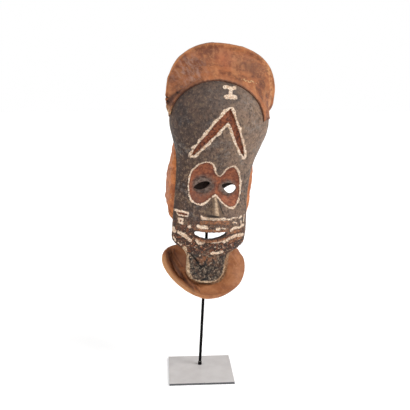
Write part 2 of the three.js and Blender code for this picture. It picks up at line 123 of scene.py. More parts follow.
# Back cloth
SIDE_WIDTH = [
    (-90, 82), (-40, 85), (20, 88), (60, 84), (100, 82), (125, 88), (150, 98), (195, 110),
]
BACK_DEPTH = [
    (-90, 146), (0, 150), (60, 150), (120, 147), (180, 135), (230, 112), (262, 88), (280, 68),
    (290, 54),
]
BACK_WALL, BACK_TOP, BACK_FLANK, BACK_COLUMNS, BACK_REACH = 3.5, 290, 0.25, 190, 260
SIDE_DEPTH, SIDE_SWELL, RIM_INSET, FLAP_INSET, CHEEK_INSET, EDGE_GAP = 40, 14, 5, 3.5, 3, 0.5
TUCK_LEFT, TUCK_RIGHT, TUCK_BLEND = 133, 150, 22
CROWN_FOLD, CROWN_RISE = 0.05, 15
HEM = [
    (-1, -78), (-0.72, -52), (-0.35, -36), (0, -42), (0.3, -28), (0.5, -6), (0.75, -26),
    (1, -58),
]
FLAP_OUT = [(-95, 6), (-50, 7.5), (0, 3.5), (50, 4.5), (100, 0)]
FLAP_CREASES = [(4.5, 24, 6), (2.2, -4, -5), (2.4, 62, 8), (1.6, -40, 6)]
SEAM, SEAM_REACH, SEAM_STITCH, STITCH_TURN = 0.12, 190, 5, 1.1
HEM_FOLD, HEM_STITCH, HEM_STITCH_TURN = 9, 6, 210
STAIN, STAIN_SIZE = (88, 20, -56), (9, 14, 8)

# Collar
COLLAR_X, COLLAR_Z, COLLAR_DEPTH, COLLAR_SLOPE = 1, -165, 15, 0.78
COLLAR_WIDE, COLLAR_LOW, COLLAR_HIGH, COLLAR_FIRST, COLLAR_LAST = 90, 64, 55, -24, 205
COLLAR_LEFT_POWER, COLLAR_RIGHT_POWER, COLLAR_INSET = 1.6, 2, 6
COLLAR_VALLEY, COLLAR_PILLOW, COLLAR_JAW, COLLAR_ROOT = 22, 9, -127, 2.3
COLLAR_COLUMNS, COLLAR_LENGTH, COLLAR_ACROSS = 270, 430, 60
COLLAR_THICKNESS = [(0, 3.6), (0.8, 3.6), (0.88, 6.5), (0.94, 8.6), (0.98, 7), (1, 2)]
COLLAR_CREASES = [
    (9, 4.2, [(-76, -150), (-73, -159), (-64, -173), (-52, -189), (-37, -207), (-27, -215)]),
    (4, 3, [(-66, -142), (-64, -147), (-59, -159), (-47, -175)]),
    (5, 3.4, [(-41, -187), (-36, -195), (-23, -211), (-13, -219)]),
    (2.2, 3, [(52, -134), (68, -141), (84, -153)]),
    (1.6, 2.5, [(50, -144), (60, -150), (70, -163)]),
]

# Stand and camera, in metres and degrees, and the camera's lens in millimetres
PLATE_TOP, RING_HEIGHT = 0.0053, 0.0134
CAMERA_PLACE = (-0.0796, -1.4269, 0.6681)
CAMERA_DIP, CAMERA_TURN, CAMERA_LENS = 11.47, 3.61, 60.23


def curve(points):
    """A smooth curve through pairs of place and value."""
    places = np.array([p[0] for p in points], float)
    values = np.array([p[1] for p in points], float)
    steps = np.arange(len(points))
    before = np.maximum(steps - 1, 0)
    after = np.minimum(steps + 1, len(points) - 1)
    slopes = (values[after] - values[before]) / (places[after] - places[before])

    def at(place):
        x = np.clip(place, places[0], places[-1])
        i = np.clip(np.searchsorted(places, x) - 1, 0, len(points) - 2)
        step = places[i + 1] - places[i]
        t = (x - places[i]) / step
        rise = values[i] + (values[i + 1] - values[i]) * t * t * (3 - 2 * t)
        return rise + step * (t * (1 - t) ** 2 * slopes[i] - t * t * (1 - t) * slopes[i + 1])

    return at


front_depth = curve(FRONT_DEPTH)
rear_depth = curve(REAR_DEPTH)
cheek_width = curve(CHEEK_WIDTH)
roundness = curve(ROUNDNESS)
brim_thickness = curve(BRIM_THICKNESS)
side_width = curve(SIDE_WIDTH)
back_depth = curve(BACK_DEPTH)
hem_height = curve(HEM)
flap_out = curve(FLAP_OUT)
collar_thickness = curve(COLLAR_THICKNESS)


def smooth(value, low, high):
    t = np.clip((value - low) / (high - low), 0, 1)
    return t * t * (3 - 2 * t)


def mix(a, b, t):
    return a + (b - a) * t


LATTICE = 24


def noise(x, y, z, size, seed):
    """Smooth noise from -1 to 1, with features of a size in millimetres."""
    lattice = np.random.default_rng(seed).random((LATTICE,) * 3) * 2 - 1
    places = [np.asarray(v, float) / size for v in (x, y, z)]
    low = [np.floor(p).astype(int) for p in places]
    part = [smooth(p - i, 0, 1) for p, i in zip(places, low)]
    total = 0
    for corner in np.ndindex(2, 2, 2):
        weight = math.prod(t if c else 1 - t for t, c in zip(part, corner))
        total = total + weight * lattice[tuple((i + c) % LATTICE for i, c in zip(low, corner))]
    return total


# Lines and patches in the plane of the face
def smooth_loop(path, per):
    """A rounded closed path through points, with a count of steps from one to the next."""
    found = []
    for i in range(len(path)):
        a, b, c, d = (np.array(path[(i + k) % len(path)], float) for k in (-1, 0, 1, 2))
        for t in np.arange(per) / per:
            found.append(0.5 * (
                2 * b + (c - a) * t + (2 * a - 5 * b + 4 * c - d) * t * t
                + (3 * b - a - 3 * c + d) * t ** 3
            ))
    return found


def distance(x, z, path, closed=False):
    """How far places are from a path."""
    points = [np.array(p, float) for p in path]
    if closed or len(points) == 1:
        points.append(points[0])
    best = np.full(np.shape(x), 1e9)
    for (ax, az), (bx, bz) in zip(points[:-1], points[1:]):
        dx, dz = bx - ax, bz - az
        length = max(dx * dx + dz * dz, 1e-9)
        t = np.clip(((x - ax) * dx + (z - az) * dz) / length, 0, 1)
        best = np.minimum(best, np.hypot(x - ax - t * dx, z - az - t * dz))
    return best


def patch(x, z, outline):
    """Distance from an outline, less than 0 inside it."""
    within = np.zeros(np.shape(x), bool)
    for (ax, az), (bx, bz) in zip(outline, [*outline[1:], outline[0]]):
        if az != bz:
            crosses = (az > z) != (bz > z)
            within ^= crosses & (x < (bx - ax) * (z - az) / (bz - az) + ax)
    away = distance(x, z, outline, closed=True)
    return np.where(within, -away, away)


def strokes(x, z, lines):
    """Distance from the nearest of several brush strokes, less than 0 on one."""
    return np.minimum.reduce([distance(x, z, path) - width / 2 for width, path in lines])


def oval(x, z, middle, size):
    """How far places are from the middle of an oval, where its edge is at 1."""
    return np.hypot((x - middle[0]) / size[0], (z - middle[1]) / size[1])


def bell(away, wide=1):
    """1 in the middle, fading out over a width."""
    return np.exp(-(away / wide) ** 2)


def near(x, z, path, wide, closed=False):
    """1 on a path, fading out over a width beside it."""
    return bell(distance(x, z, path, closed), wide)


def axes(rows):
    """The x, y and z of a grid of points."""
    return np.moveaxis(rows, -1, 0)


# Meshes
def add_object(name, data):
    piece = bpy.data.objects.new(name, data)
    bpy.context.scene.collection.objects.link(piece)
    return piece


def mesh_of(name, points, faces):
    data = bpy.data.meshes.new(name)
    data.from_pydata(np.asarray(points).reshape(-1, 3).tolist(), [], faces)
    data.update()
    return add_object(name, data)


def places_of(piece):
    places = np.zeros(len(piece.data.vertices) * 3)
    piece.data.vertices.foreach_get("co", places)
    return places.reshape(-1, 3)


def keep(piece, **values):
    """Keeps a number or a vector of each vertex, under its name, for the material to read."""
    for name, found in values.items():
        kind, field = ("FLOAT_VECTOR", "vector") if np.ndim(found) == 2 else ("FLOAT", "value")
        kept = piece.data.attributes.new(name, kind, "POINT")
        kept.data.foreach_set(field, np.asarray(found, np.float32).ravel())


@contextmanager
def editing(piece):
    """A piece's mesh, opened to be changed and then written back."""
    form = bmesh.new()
    form.from_mesh(piece.data)
    yield form
    form.to_mesh(piece.data)
    form.free()


def cut(piece, *others):
    """Cuts solids out of a piece, and removes them and the slivers that they leave."""
    for other in others:
        change = piece.modifiers.new("cut", "BOOLEAN")
        change.operation = "DIFFERENCE"
        change.solver = "MANIFOLD"
        change.object = other
        bpy.context.view_layer.update()
        found = piece.evaluated_get(bpy.context.evaluated_depsgraph_get())
        data = bpy.data.meshes.new_from_object(found)
        piece.modifiers.clear()
        if len(data.polygons) < 4:
            raise RuntimeError(f"{piece.name} was lost in a cut")
        piece.data = data
        bpy.data.objects.remove(other)
    with editing(piece) as form:
        bmesh.ops.remove_doubles(form, verts=form.verts, dist=0.001)
        bmesh.ops.triangulate(form, faces=form.faces)
        form.verts.index_update()
        corners = {}
        for face in form.faces:
            corners.setdefault(frozenset(vert.index for vert in face.verts), []).append(face)
        slivers = [face for found in corners.values() if len(found) > 1 for face in found]
        bmesh.ops.delete(form, geom=slivers, context="FACES")
        stray = [face for face in form.faces if any(edge.is_boundary for edge in face.edges)]
        bmesh.ops.delete(form, geom=stray, context="FACES")


def trim(piece, *others):
    """Cuts a piece, and finds for each vertex that is left the nearest one it had before."""
    before = places_of(piece)
    tree = KDTree(len(before))
    for index, spot in enumerate(before):
        tree.insert(spot, index)
    tree.balance()
    cut(piece, *others)
    return np.array([tree.find(spot)[1] for spot in places_of(piece)])


def shade(piece, angle):
    """Smooth shading, except over edges sharper than an angle in degrees."""
    limit = math.radians(angle)
    with editing(piece) as form:
        for face in form.faces:
            face.smooth = True
        for edge in form.edges:
            edge.smooth = edge.is_boundary or edge.calc_face_angle(0) < limit


def quads(index, flip=False):
    """Faces between the neighbours in a grid of vertex numbers."""
    a, b, c, d = index[:-1, :-1], index[:-1, 1:], index[1:, 1:], index[1:, :-1]
    corners = [a, d, c, b] if flip else [a, b, c, d]
    return np.stack(corners, axis=-1).reshape(-1, 4).tolist()


def loft(name, rows):
    """A solid through closed rows of points, from the lowest one up."""
    index = np.arange(rows.size // 3).reshape(rows.shape[:2])
    faces = quads(np.append(index, index[:, :1], axis=1))
    return mesh_of(name, rows, [*faces, index[0, ::-1].tolist(), index[-1].tolist()])


def column(name, outline):
    """A column straight through the face, with an outline in its plane."""
    piece = loft(name, np.array([[(x, y, z) for x, z in outline] for y in (CUT_FRONT, CUT_BACK)]))
    with editing(piece) as form:
        bmesh.ops.recalc_face_normals(form, faces=form.faces)
    return piece


def normals_of(rows):
    """Normals of a grid of points, towards the cross product of its columns and rows."""
    found = np.cross(np.gradient(rows, axis=1), np.gradient(rows, axis=0))
    return found / np.maximum(np.linalg.norm(found, axis=2, keepdims=True), 1e-9)


def sheet(name, rows, thickness, outer_relief=0, inner_relief=0):
    """A closed sheet of cloth about a grid of points."""
    normal = normals_of(rows)
    half = np.asarray(thickness)[..., None] / 2
    outer = rows + normal * (half + np.asarray(outer_relief)[..., None])
    inner = rows - normal * (half - np.asarray(inner_relief)[..., None])
    index = np.arange(rows.size // 3).reshape(rows.shape[:2])
    pairs = np.stack([index, index + index.size], axis=-1)
    faces = quads(index) + quads(index + index.size, flip=True)
    for edge, flip in (
        (pairs[:, 0], True), (pairs[:, -1], False), (pairs[0], False), (pairs[-1], True)
    ):
        faces += quads(edge, flip)
    return mesh_of(name, np.stack([outer, inner]), faces)


def both(grid):
    """The numbers of a grid, for the outer and then for the inner side of its sheet."""
    return np.tile(grid.ravel(), 2)


def lie_of(along, across):
    """Places on a cloth's two sides, in millimetres along it and across it."""
    return np.stack([both(along), both(across), 0 * both(across)], axis=1)


def inner_of(grid):
    """0 on the outer side of a sheet and 1 on the inner one."""
    return np.repeat([0.0, 1.0], grid.size)


def spread(start, *stretches):
    """Numbers from a start over stretches, each with its count of steps and its end."""
    found = []
    for count, end in stretches:
        found.extend(np.linspace(start, end, count, endpoint=False))
        start = end
    return np.array([*found, start])


# The face
def face_width(z):
    z = np.asarray(z, float)
    arch = ARCH_WIDE * np.sqrt(1 - np.clip((z - ARCH_LOW) / ARCH_HIGH, 0, 1) ** 2)
    chin = CHIN_WIDE * np.cbrt(1 - np.clip((CHIN_TOP - z) / CHIN_HIGH, 0, 1) ** 3)
    jaw, wide = CHEEK_WIDTH[0]
    neck = mix(wide, CHIN_WIDE, (jaw - z) / (jaw - CHIN_TOP))
    found = np.where(z < jaw, neck, cheek_width(z))
    return np.where(z > ARCH_LOW, arch, np.where(z < CHIN_TOP, chin, found))


def face_plain(x, z, inset=0):
    """Depth of the plain face at a place on it, before any carving."""
    wide = np.maximum(face_width(z) - inset, 0.1)
    power = roundness(z)
    front = front_depth(z) + inset
    rear = rear_depth(z)
    part = np.clip(np.abs(x) / wide, 0, 1)
    return rear - (rear - front) * (1 - part ** power) ** (1 / power)


def carving(x, z):
    """How far the carving stands out from the plain face."""
    side = np.abs(x)
    orbit = 1 - ((side - ORBIT_X) / ORBIT_WIDE) ** 2 - ((z - ORBIT_Z) / ORBIT_TALL) ** 2
    lid = 1 - ((side - LID_X) / LID_WIDE) ** 2 - ((z - LID_Z) / LID_TALL) ** 2
    out = -ORBIT_DEEP * smooth(orbit, 0, ORBIT_SLOPE) + LID_HIGH * np.sqrt(np.maximum(lid, 0))
    down = (NOSE_TOP - z) / (NOSE_TOP - NOSE_BASE)
    wing = mix(NOSE_ROOT, NOSE_WING, np.clip(down, 0, 1))
    flank = np.minimum(1, NOSE_ROUND * (1 - side / wing))
    under = np.clip((z - NOSE_BASE + NOSE_STEP) / NOSE_STEP, 0, 1)
    nose = mix(NOSE_LOW, NOSE_HIGH, np.clip(down, 0, 1)) * flank * under
    out = np.where((down > 0) & (z > NOSE_BASE - NOSE_STEP), np.maximum(out, nose), out)
    along = x - MOUTH_X
    across = z - MOUTH_Z - MOUTH_SMILE * along * along
    lips = 1 - (along / MOUTH_WIDE) ** 2 - (across / MOUTH_TALL) ** 2
    out = out + LIP_HIGH * smooth(lips, 0, 0.6)
    return out + CHIN_STEP_HIGH * smooth(CHIN_STEP_Z - z, 0, 5)


# Painted fields, and brush strokes as a width and a path
SPECTACLES = smooth_loop([
    (5, 24), (-3, 29), (-8, 38), (-15, 48), (-24, 52), (-34, 51), (-44, 45), (-50, 37),
    (-56, 26), (-57, 7), (-56, -8), (-53, -21), (-48, -31), (-37, -37), (-26, -37), (-15, -30),
    (-6, -22), (1, -16), (11, -24), (21, -33), (34, -40), (45, -38), (52, -29), (56, -14),
    (56, 5), (52, 23), (44, 37), (35, 46), (27, 47), (18, 42), (13, 31), (8, 24),
], per=3)
CHEEK_BAND = [(-78, -54), (-54, -56), (-54, -64), (-72, -63)]
CHEEK_PATCH = [(-71, -70), (-64, -71), (-63, -79), (-70, -78)]
CREAM_STROKES = [
    (6.5, [(-11, 204), (-6, 206.5), (0, 204)]),
    (6.5, [(5, 204), (11, 206)]),
    (8.5, [(2, 203), (-1, 190)]),
    (8.5, [(-10, 186), (0, 187), (10, 187)]),
    (4.4, [(-78, -54), (-54, -56)]),
    (4, [(-26, -61), (-23, -66)]),
    (6.6, [(-22, -65.5), (0, -65.5), (25, -64)]),
    (3.6, [(31, -64), (40, -63)]),
    (2.6, [(43, -61), (53, -59)]),
    (3, [(57, -60), (64, -56)]),
    (2.6, [(71, -54), (70, -68)]),
    (2.6, [(63, -66), (66, -74)]),
    (7.2, [(-30, -82), (-20, -83.5), (-12, -83.5)]),
    (6, [(9, -85.5), (15, -85)]),
    (3, [(22, -83), (28, -84)]),
    (7, [(-48, -84)]),
    (6.6, [(-29, -113), (-22, -119), (-14, -117)]),
    (3.6, [(4, -117), (26, -113)]),
    (7, [(32, -113), (43, -105), (54, -99), (72, -96)]),
    (5.6, [(43, -88), (48, -83), (53, -82)]),
    (5.4, [(57, -81), (63, -80), (70, -75)]),
    (3.4, [(45, -70), (54, -71)]),
    (6, [(-79, -92), (-76, -98)]),
    (6.6, [(-68, -98), (-54, -105), (-42, -114)]),
    (3, [(-76, -110), (-72, -118)]),
    (2.6, [(-66, -121), (-59, -126)]),
    (5.5, [(8, -140), (20, -139), (32, -136)]),
    (3, [(-18, -145)]),
    (2.4, [(-37, -150)]),
    (3, [(-30, -128)]),
    (3, [(14, -127)]),
    (2.6, [(48, -118)]),
]
BEIGE_STROKES = [
    (7.5, [(-51, -132), (-44, -146), (-40.5, -166), (-39, -184), (-31, -195)]),
    (5.5, [(-24, -199), (-1, -202), (20, -201), (33, -195), (40, -184), (42, -168), (42, -152)]),
]
ORANGE_STROKES = [
    (8, [(-22, -75), (4, -73), (34, -71)]),
    (5, [(-34, -110), (-6, -115), (16, -112), (35, -107)]),
    (4, [(-36, -88), (-10, -90), (20, -90), (35, -88)]),
    (5, [(40, -92), (52, -90), (64, -87)]),
    (5, [(46, -112), (60, -105), (70, -103)]),
]
LIP_FOLDS = [
    (1.2, [(-30, -69.5), (0, -69), (30, -68)]),
    (1.4, [(-34, -78.5), (0, -78.5), (32, -77.5)]),
    (1.6, [(-40, -103), (-28, -109), (-6, -111.5), (14, -110), (34, -103)]),
    (1.2, [(-34, -116), (-6, -120), (18, -118), (36, -112)]),
]
CRACK = [(-36, -144), (-29, -151), (-22, -158), (-18, -165), (-11, -171)]
NOSE_FIELD = [(1, -16), (-24, -60), (24, -60)]
# Where shade is painted down the nose's right flank
NOSE_SHADE_LINE = [(5, -19), (13, -37), (21, -53)]
RIDGE_TOP, RIDGE_HIGH, RIDGE_X, RIDGE_WIDE = -16, 42, (1.5, 4), (2, 5.5)
NOSTRILS = (-5, -59), (11, 2.4)
NOSE_SHADOW = (-4, -58.5), (15, 4.4)
LEFT_LID = (-25, 2.5), (24, 20.5)
RIGHT_LID = (28, 0.5), (20, 17)
RUSTY = (-2, -152), (20, 10)
FOREHEAD_MARK = [(0, 196)]


def mouth_outline():
    """The mouth's opening, with slightly uneven lips."""
    found = []
    for side in (1, -1):
        for turn in np.arange(36) * math.pi / 36:
            along = side * OPEN_WIDE * math.cos(turn)
            gape = side * OPEN_GAPE * math.sin(turn) ** 0.8
            uneven = 1.1 * float(noise(along, side * 9, 3, 3.6, 5)) * math.sin(turn)
            level = OPEN_Z + OPEN_SMILE * along * along + OPEN_TILT * along
            found.append((OPEN_X + along, level + gape + uneven))
    return found


def groove_outline():
    """The forehead's channel, with edges that waver as cut ones do."""
    found = []
    for (ax, az), (bx, bz) in zip(GROOVE, [*GROOVE[1:], GROOVE[0]]):
        count = max(int(math.hypot(bx - ax, bz - az) / 2), 1)
        for k in range(count):
            x, z = mix(ax, bx, k / count), mix(az, bz, k / count)
            found.append((
                x + 0.45 * float(noise(x, 0, z, 5, 11)),
                z + 0.45 * float(noise(x, 9, z, 5, 12)),
            ))
    return found


def face_space(name, depth, low, columns, levels):
    """The space behind the face at a depth under its skin, down to a height."""
    high = FACE_TOP - depth
    z = mix(high, low, (1 - np.arange(levels + 1) / levels) ** 1.3)
    above = z + depth * np.clip((z - low) / (high - low) * 2 - 1, 0, 1)
    wide = np.maximum(face_width(above) - depth, 3)
    part = np.sin(np.radians(-90 + 180 * np.arange(columns + 1) / columns))
    x = wide[:, None] * part
    y = face_plain(x, above[:, None] + 0 * x, depth)
    front = np.stack([x, y, z[:, None] + 0 * x], axis=2)
    left, right = (
        np.stack([side * wide, np.full_like(z, CAVITY_BACK), z], axis=1)[:, None]
        for side in (-1, 1)
    )
    return loft(name, np.concatenate([left, front, right], axis=1))


def face_rows(step, arch_end, arch_steps, columns, margin=0):
    """Rows of points over the carved face, grown by a margin.

    They are a step apart up to the arch, and then at even angles up to its end.
    """
    z = np.concatenate([
        np.arange(FACE_BOTTOM, ARCH_LOW, step),
        ARCH_LOW + ARCH_HIGH * np.sin(np.radians(np.linspace(0, arch_end, arch_steps))),
    ])
    s = np.linspace(-1, 1, columns)
    place = np.sin(np.radians(90 * s * (0.74 + 0.26 * s * s)))
    x = face_width(z)[:, None] * place
    z = z[:, None] + 0 * x
    rear = rear_depth(z) + margin
    y = np.minimum(face_plain(x, z) - carving(x, z) - margin, rear)
    y[:, [0, -1]] = rear[:, [0, -1]]
    return np.stack([x + place * margin, y, z], axis=2)


def face_block():
    """The whole of the face as a solid block, a little grown, to cut the cloth with."""
    rows = face_rows(step=3, arch_end=86, arch_steps=20, columns=65, margin=CLOTH_GAP)
    return loft("face block", rows)


def relief(x, y, z):
    """Fine relief of the face's skin: brushed resin, thick paint, a crusted chin."""
    wave = partial(noise, x, y, z)
    out = 0.5 * wave(26, 1) + 0.22 * wave(9, 2)
    out += 0.7 * bell(patch(x, z, GROOVE) - 2.6, 2)
    out += 0.6 * near(x, z, SPECTACLES, 2.2, True)
    out += 0.4 * smooth(-strokes(x, z, CREAM_STROKES), -0.6, 0.6)
    out += smooth(-z, 66, 118) * (0.8 * wave(6, 3) + 0.35 * wave(3, 7))
    for deep, path in LIP_FOLDS:
        out -= deep * near(x, z, path, 2.2)
    out -= 2.4 * bell(oval(x, z, *NOSTRILS))
    chin = smooth(-z, 138, 148)
    lumps = 1 - np.abs(wave(8, 4))
    out += chin * (1.9 * lumps ** 2 - 0.9 + 0.7 * wave(3.4, 6))
    return out - chin * 2.6 * near(x, z, CRACK, 1.4)


def mark_face(face):
    """Keeps where the face is painted, crusted, worn or hollow, and where shade is painted on it.
    """
    x, y, z = places_of(face).T
    wave = partial(noise, x, y, z)
    rear = rear_depth(z)
    border = patch(x, z, GROOVE)
    spectacles = patch(x, z, SPECTACLES)
    waver = x + 0.9 * wave(6, 51), z + 0.9 * wave(6, 52)
    uneven = wave(8, 53)
    down = np.clip((RIDGE_TOP - z) / RIDGE_HIGH, 0, 1)
    ridge = np.abs(x - mix(*RIDGE_X, down)) - mix(*RIDGE_WIDE, down)
    keep(
        face,
        cream=np.minimum.reduce([
            np.abs(border - 2.9 - 0.8 * uneven) - 2.6 - 1.4 * uneven,
            np.abs(spectacles - 0.6 * uneven) - 1.7 - 1.2 * uneven,
            strokes(*waver, CREAM_STROKES),
            distance(*waver, CHEEK_BAND, True) - 1.2,
            distance(*waver, CHEEK_PATCH, True) - 2,
        ]),
        beige=strokes(x, z, BEIGE_STROKES),
        orange=strokes(x, z, ORANGE_STROKES),
        red=np.minimum.reduce([
            border - 0.6, spectacles, patch(x, z, CHEEK_BAND), patch(x, z, CHEEK_PATCH),
        ]),
        lids=(np.minimum(oval(x, z, *LEFT_LID), oval(x, z, *RIGHT_LID)) - 1) * 18,
        ridge=np.where((z < RIDGE_TOP + 1) & (z > RIDGE_TOP - 40), ridge, 9),
        nose=patch(x, z, NOSE_FIELD),
        # Where shade is painted down the nose's right flank
        flank=distance(x, z, NOSE_SHADE_LINE),
        # Where the shadow under the nose is painted
        under=oval(x, z, *NOSE_SHADOW),
        mark=distance(x, z, FOREHEAD_MARK),
        crack=distance(x, z, CRACK),
        jaw=smooth(-z, 52, 116),
        chin=smooth(-z, 137, 146),
        rusty=bell(oval(x, z, *RUSTY)),
        pale=smooth(x + 0.3 * z, -60, 90) * smooth(rear - y, 2, 34),
        # Darker towards the left, below the forehead's top
        murk=smooth(-x, 15, 78) * smooth(145 - z, 0, 60),
        # Where shade is painted over the lower left of the red fields
        low=smooth(-z, 2, 34) * smooth(-x, -14, 12),
        deep=y - (face_plain(x, z) - carving(x, z)),
        edge=np.maximum(face_width(z) - np.abs(x), 0) + np.maximum(rear - y, 0),
        rear=smooth(y - rear, -1.4, -0.3),
        side=x,
        height=z,
    )


def build_face():
    rows = face_rows(step=1.35, arch_end=87, arch_steps=66, columns=173)
    x, y, z = axes(rows)
    edge = smooth(rear_depth(z) - y, 0, 4)[..., None]
    rows = rows + normals_of(rows) * relief(x, y, z)[..., None] * edge
    rows[..., 2] = np.clip(rows[..., 2], FACE_BOTTOM, FACE_TOP)
    rows[0, :, 2] = FACE_BOTTOM
    rows[-1, :, 2] = z[-1, 0]
    face = loft("face", rows)
    groove = column("groove", groove_outline())
    cut(groove, face_space("floor", GROOVE_DEPTH, GROOVE_FOOT, columns=60, levels=60))
    cut(
        face,
        face_space("cavity", SHELL_WALL, CAVITY_BOTTOM, columns=48, levels=54),
        groove,
        column("left eye", smooth_loop(EYE_LEFT, per=4)),
        column("right eye", smooth_loop(EYE_RIGHT, per=4)),
        column("mouth", mouth_outline()),
    )
    mark_face(face)
    shade(face, 40)
    return face


# The hood's brim
def hoop_point(angle):
    """A point on the hoop; 0 is at the left, 90 at the top and 180 at the right."""
    left = angle < 90
    wide = np.where(left, HOOP_LEFT, HOOP_RIGHT)
    power = 2 / np.where(left, LEFT_POWER, RIGHT_POWER)
    out = np.abs(np.cos(np.radians(angle)))
    up = np.sin(np.radians(angle))
    x = wide * out ** np.where(up < 0, 0.4, power)
    z = np.where(up < 0, HOOP_FOOT * up, HOOP_TOP * np.maximum(up, 0) ** power)
    return np.stack([np.where(left, -x, x), np.full_like(x, HOOP_DEPTH), HOOP_Z + z], axis=-1)


def hoop_width(z, left):
    """How far the hoop is from the middle at a height, on one side."""
    wide = np.where(left, HOOP_LEFT, HOOP_RIGHT)
    power = np.where(left, LEFT_POWER, RIGHT_POWER)
    low = wide * (1 - np.clip((HOOP_Z - z) / HOOP_FOOT, 0, 0.6) ** 2) ** 0.2
    high = wide * (1 - np.clip((z - HOOP_Z) / HOOP_TOP, 0, 1) ** power) ** (1 / power)
    return np.where(z < HOOP_Z, low, high)


def welt_point(angle):
    """A point on the welt, at an angle counted as on the hoop."""
    x = WELT_X - WELT_WIDE * np.cos(np.radians(angle))
    z = WELT_Z + WELT_HIGH * np.sin(np.radians(angle))
    return np.stack([x, face_plain(x, z) - BRIM_OFF, z], axis=-1)


def out_of_face(points, off):
    """Moves points that are inside the face straight out to its skin, at their own height."""
    x, y, z = axes(points)
    rear = rear_depth(z)
    wide = face_width(z) + off
    deep = rear - front_depth(z) + off
    power = roundness(z)
    size = (
        (np.abs(x) / wide) ** power + (np.maximum(rear - y, 0) / deep) ** power
    ) ** (1 / power)
    inside = (y <= rear) & (z <= FACE_TOP) & (size < 1)
    size = np.where(inside, np.maximum(size, 1e-6), 1)
    return np.stack([x / size, np.where(inside, rear - (rear - y) / size, y), z], axis=-1)


def rounded_end(part, length, least):
    """How wide a strip of cloth is beside its rounded ends."""
    t = np.clip(np.minimum(part, 1 - part) / length, 0, 1)
    return least + (1 - least) * np.sqrt(1 - (1 - t) ** 2)


def nearly_end(part):
    return 1 - smooth(np.minimum(part, 1 - part), 0, 0.08)


def brim_wall(part, out):
    return brim_thickness(out) * (1 - 0.55 * nearly_end(part))


def hood_rows(across, around, reach=0):
    """Rows of points over the brim from the face outwards, longer and wider by a reach."""
    part = 0.5 + (around - 0.5) * (1 + 2 * reach / BRIM_LONG)
    out = 0.5 + (across - 0.5) * (1 + 2 * reach / BRIM_WIDE)
    part, out = np.meshgrid(part, out)
    start = welt_point(mix(WELT_FIRST, WELT_LAST, part))
    end = hoop_point(mix(HOOP_FIRST, HOOP_LAST, part))
    end[..., 0] *= 1 - (0.05 + 0.02 * (part > 0.5)) * nearly_end(part)
    end = mix(start, end, rounded_end(part, 0.05, 0.4)[..., None])
    rows = mix(start, end, out[..., None])
    ragged = 6 + 1.8 * np.sin(out * 23) + 1.2 * np.sin(out * 51)
    ragged = np.sin(math.pi * out) * ragged + 5 * out ** 4
    rows[..., 2] += ragged * smooth(part, 0.94, 1)
    dish = BRIM_DISH * (1.25 - 0.5 * part)
    rows[..., 1] += dish * np.sin(math.pi * out) * np.sin(math.pi * part)
    return out_of_face(rows, BRIM_OFF), part, out


def hood_block():
    """The hood's brim without its folds, a little grown, to cut the back cloth with."""
    across = spread(0, (14, 0.16), (20, 0.86), (10, 1))
    rows, part, out = hood_rows(across, np.linspace(0, 1, BLOCK_COLUMNS), CLOTH_GAP)
    return sheet("hood block", rows, brim_wall(part, out) + BRIM_GAP)


def build_hood():
    across = spread(0, (14, 0.16), (38, 0.86), (20, 1))
    rows, part, out = hood_rows(across, np.linspace(0, 1, HOOD_COLUMNS))
    x, y, z = axes(rows)
    wave = partial(noise, x, y, z)
    middle = smooth(out, 0.05, 0.25) * smooth(1 - out, 0.02, 0.2)
    folds = 1.3 * middle * wave(34, 21) + 0.5 * middle * wave(13, 22)
    folds -= 3.2 * near(x, z, HOOD_CREASE, 4) * smooth(out, 0.06, 0.14)
    folds += 0.35 * np.sin(part * 170 + 3 * wave(20, 23)) * np.exp(-out / 0.08)
    folds += 0.6 * bell(oval(x, z, *HOOD_MARKS["raw"])) * np.sin(z * 2.2)
    slit = distance(x, z, TEARS)
    folds += 0.9 * bell(slit, 3) - 1.9 * bell(slit, 1.1)
    for spot_x, spot_z in NICKS:
        folds -= 2.4 * np.exp(-((x - spot_x) ** 2 + (z - spot_z) ** 2) / 5)
    thick = brim_wall(part, out) * (1 + 0.12 * wave(15, 25))
    hood = sheet("hood", rows, thick, folds + 0.22 * wave(4.5, 24), folds)
    places = out_of_face(places_of(hood), HOOD_GAP)
    hood.data.vertices.foreach_set("co", places.ravel())
    x, y, z = places.T
    marks = {name: bell(oval(x, z, *spot)) for name, spot in HOOD_MARKS.items()}
    marks["bloom"] = np.minimum(marks["bloom"] * 1.4, 1)
    turn = np.arctan2(x - FAN_X, z - FAN_Z)
    keep(
        hood,
        **marks,
        out=both(out),
        part=both(part),
        inner=inner_of(out),
        crease=distance(x, z, HOOD_CREASE),
        tears=distance(x, z, TEARS),
        streak=distance(x, z, HOOD_STREAK),
        nick=np.minimum.reduce([np.hypot(x - a, z - b) for a, b in NICKS]),
        fan=np.stack([turn * FAN_RADIUS, np.hypot(x - FAN_X, z - FAN_Z), y], axis=1),
        lie=lie_of(part * HOOD_LENGTH, out * HOOD_WIDTH),
    )
    shade(hood, 50)
    return hood


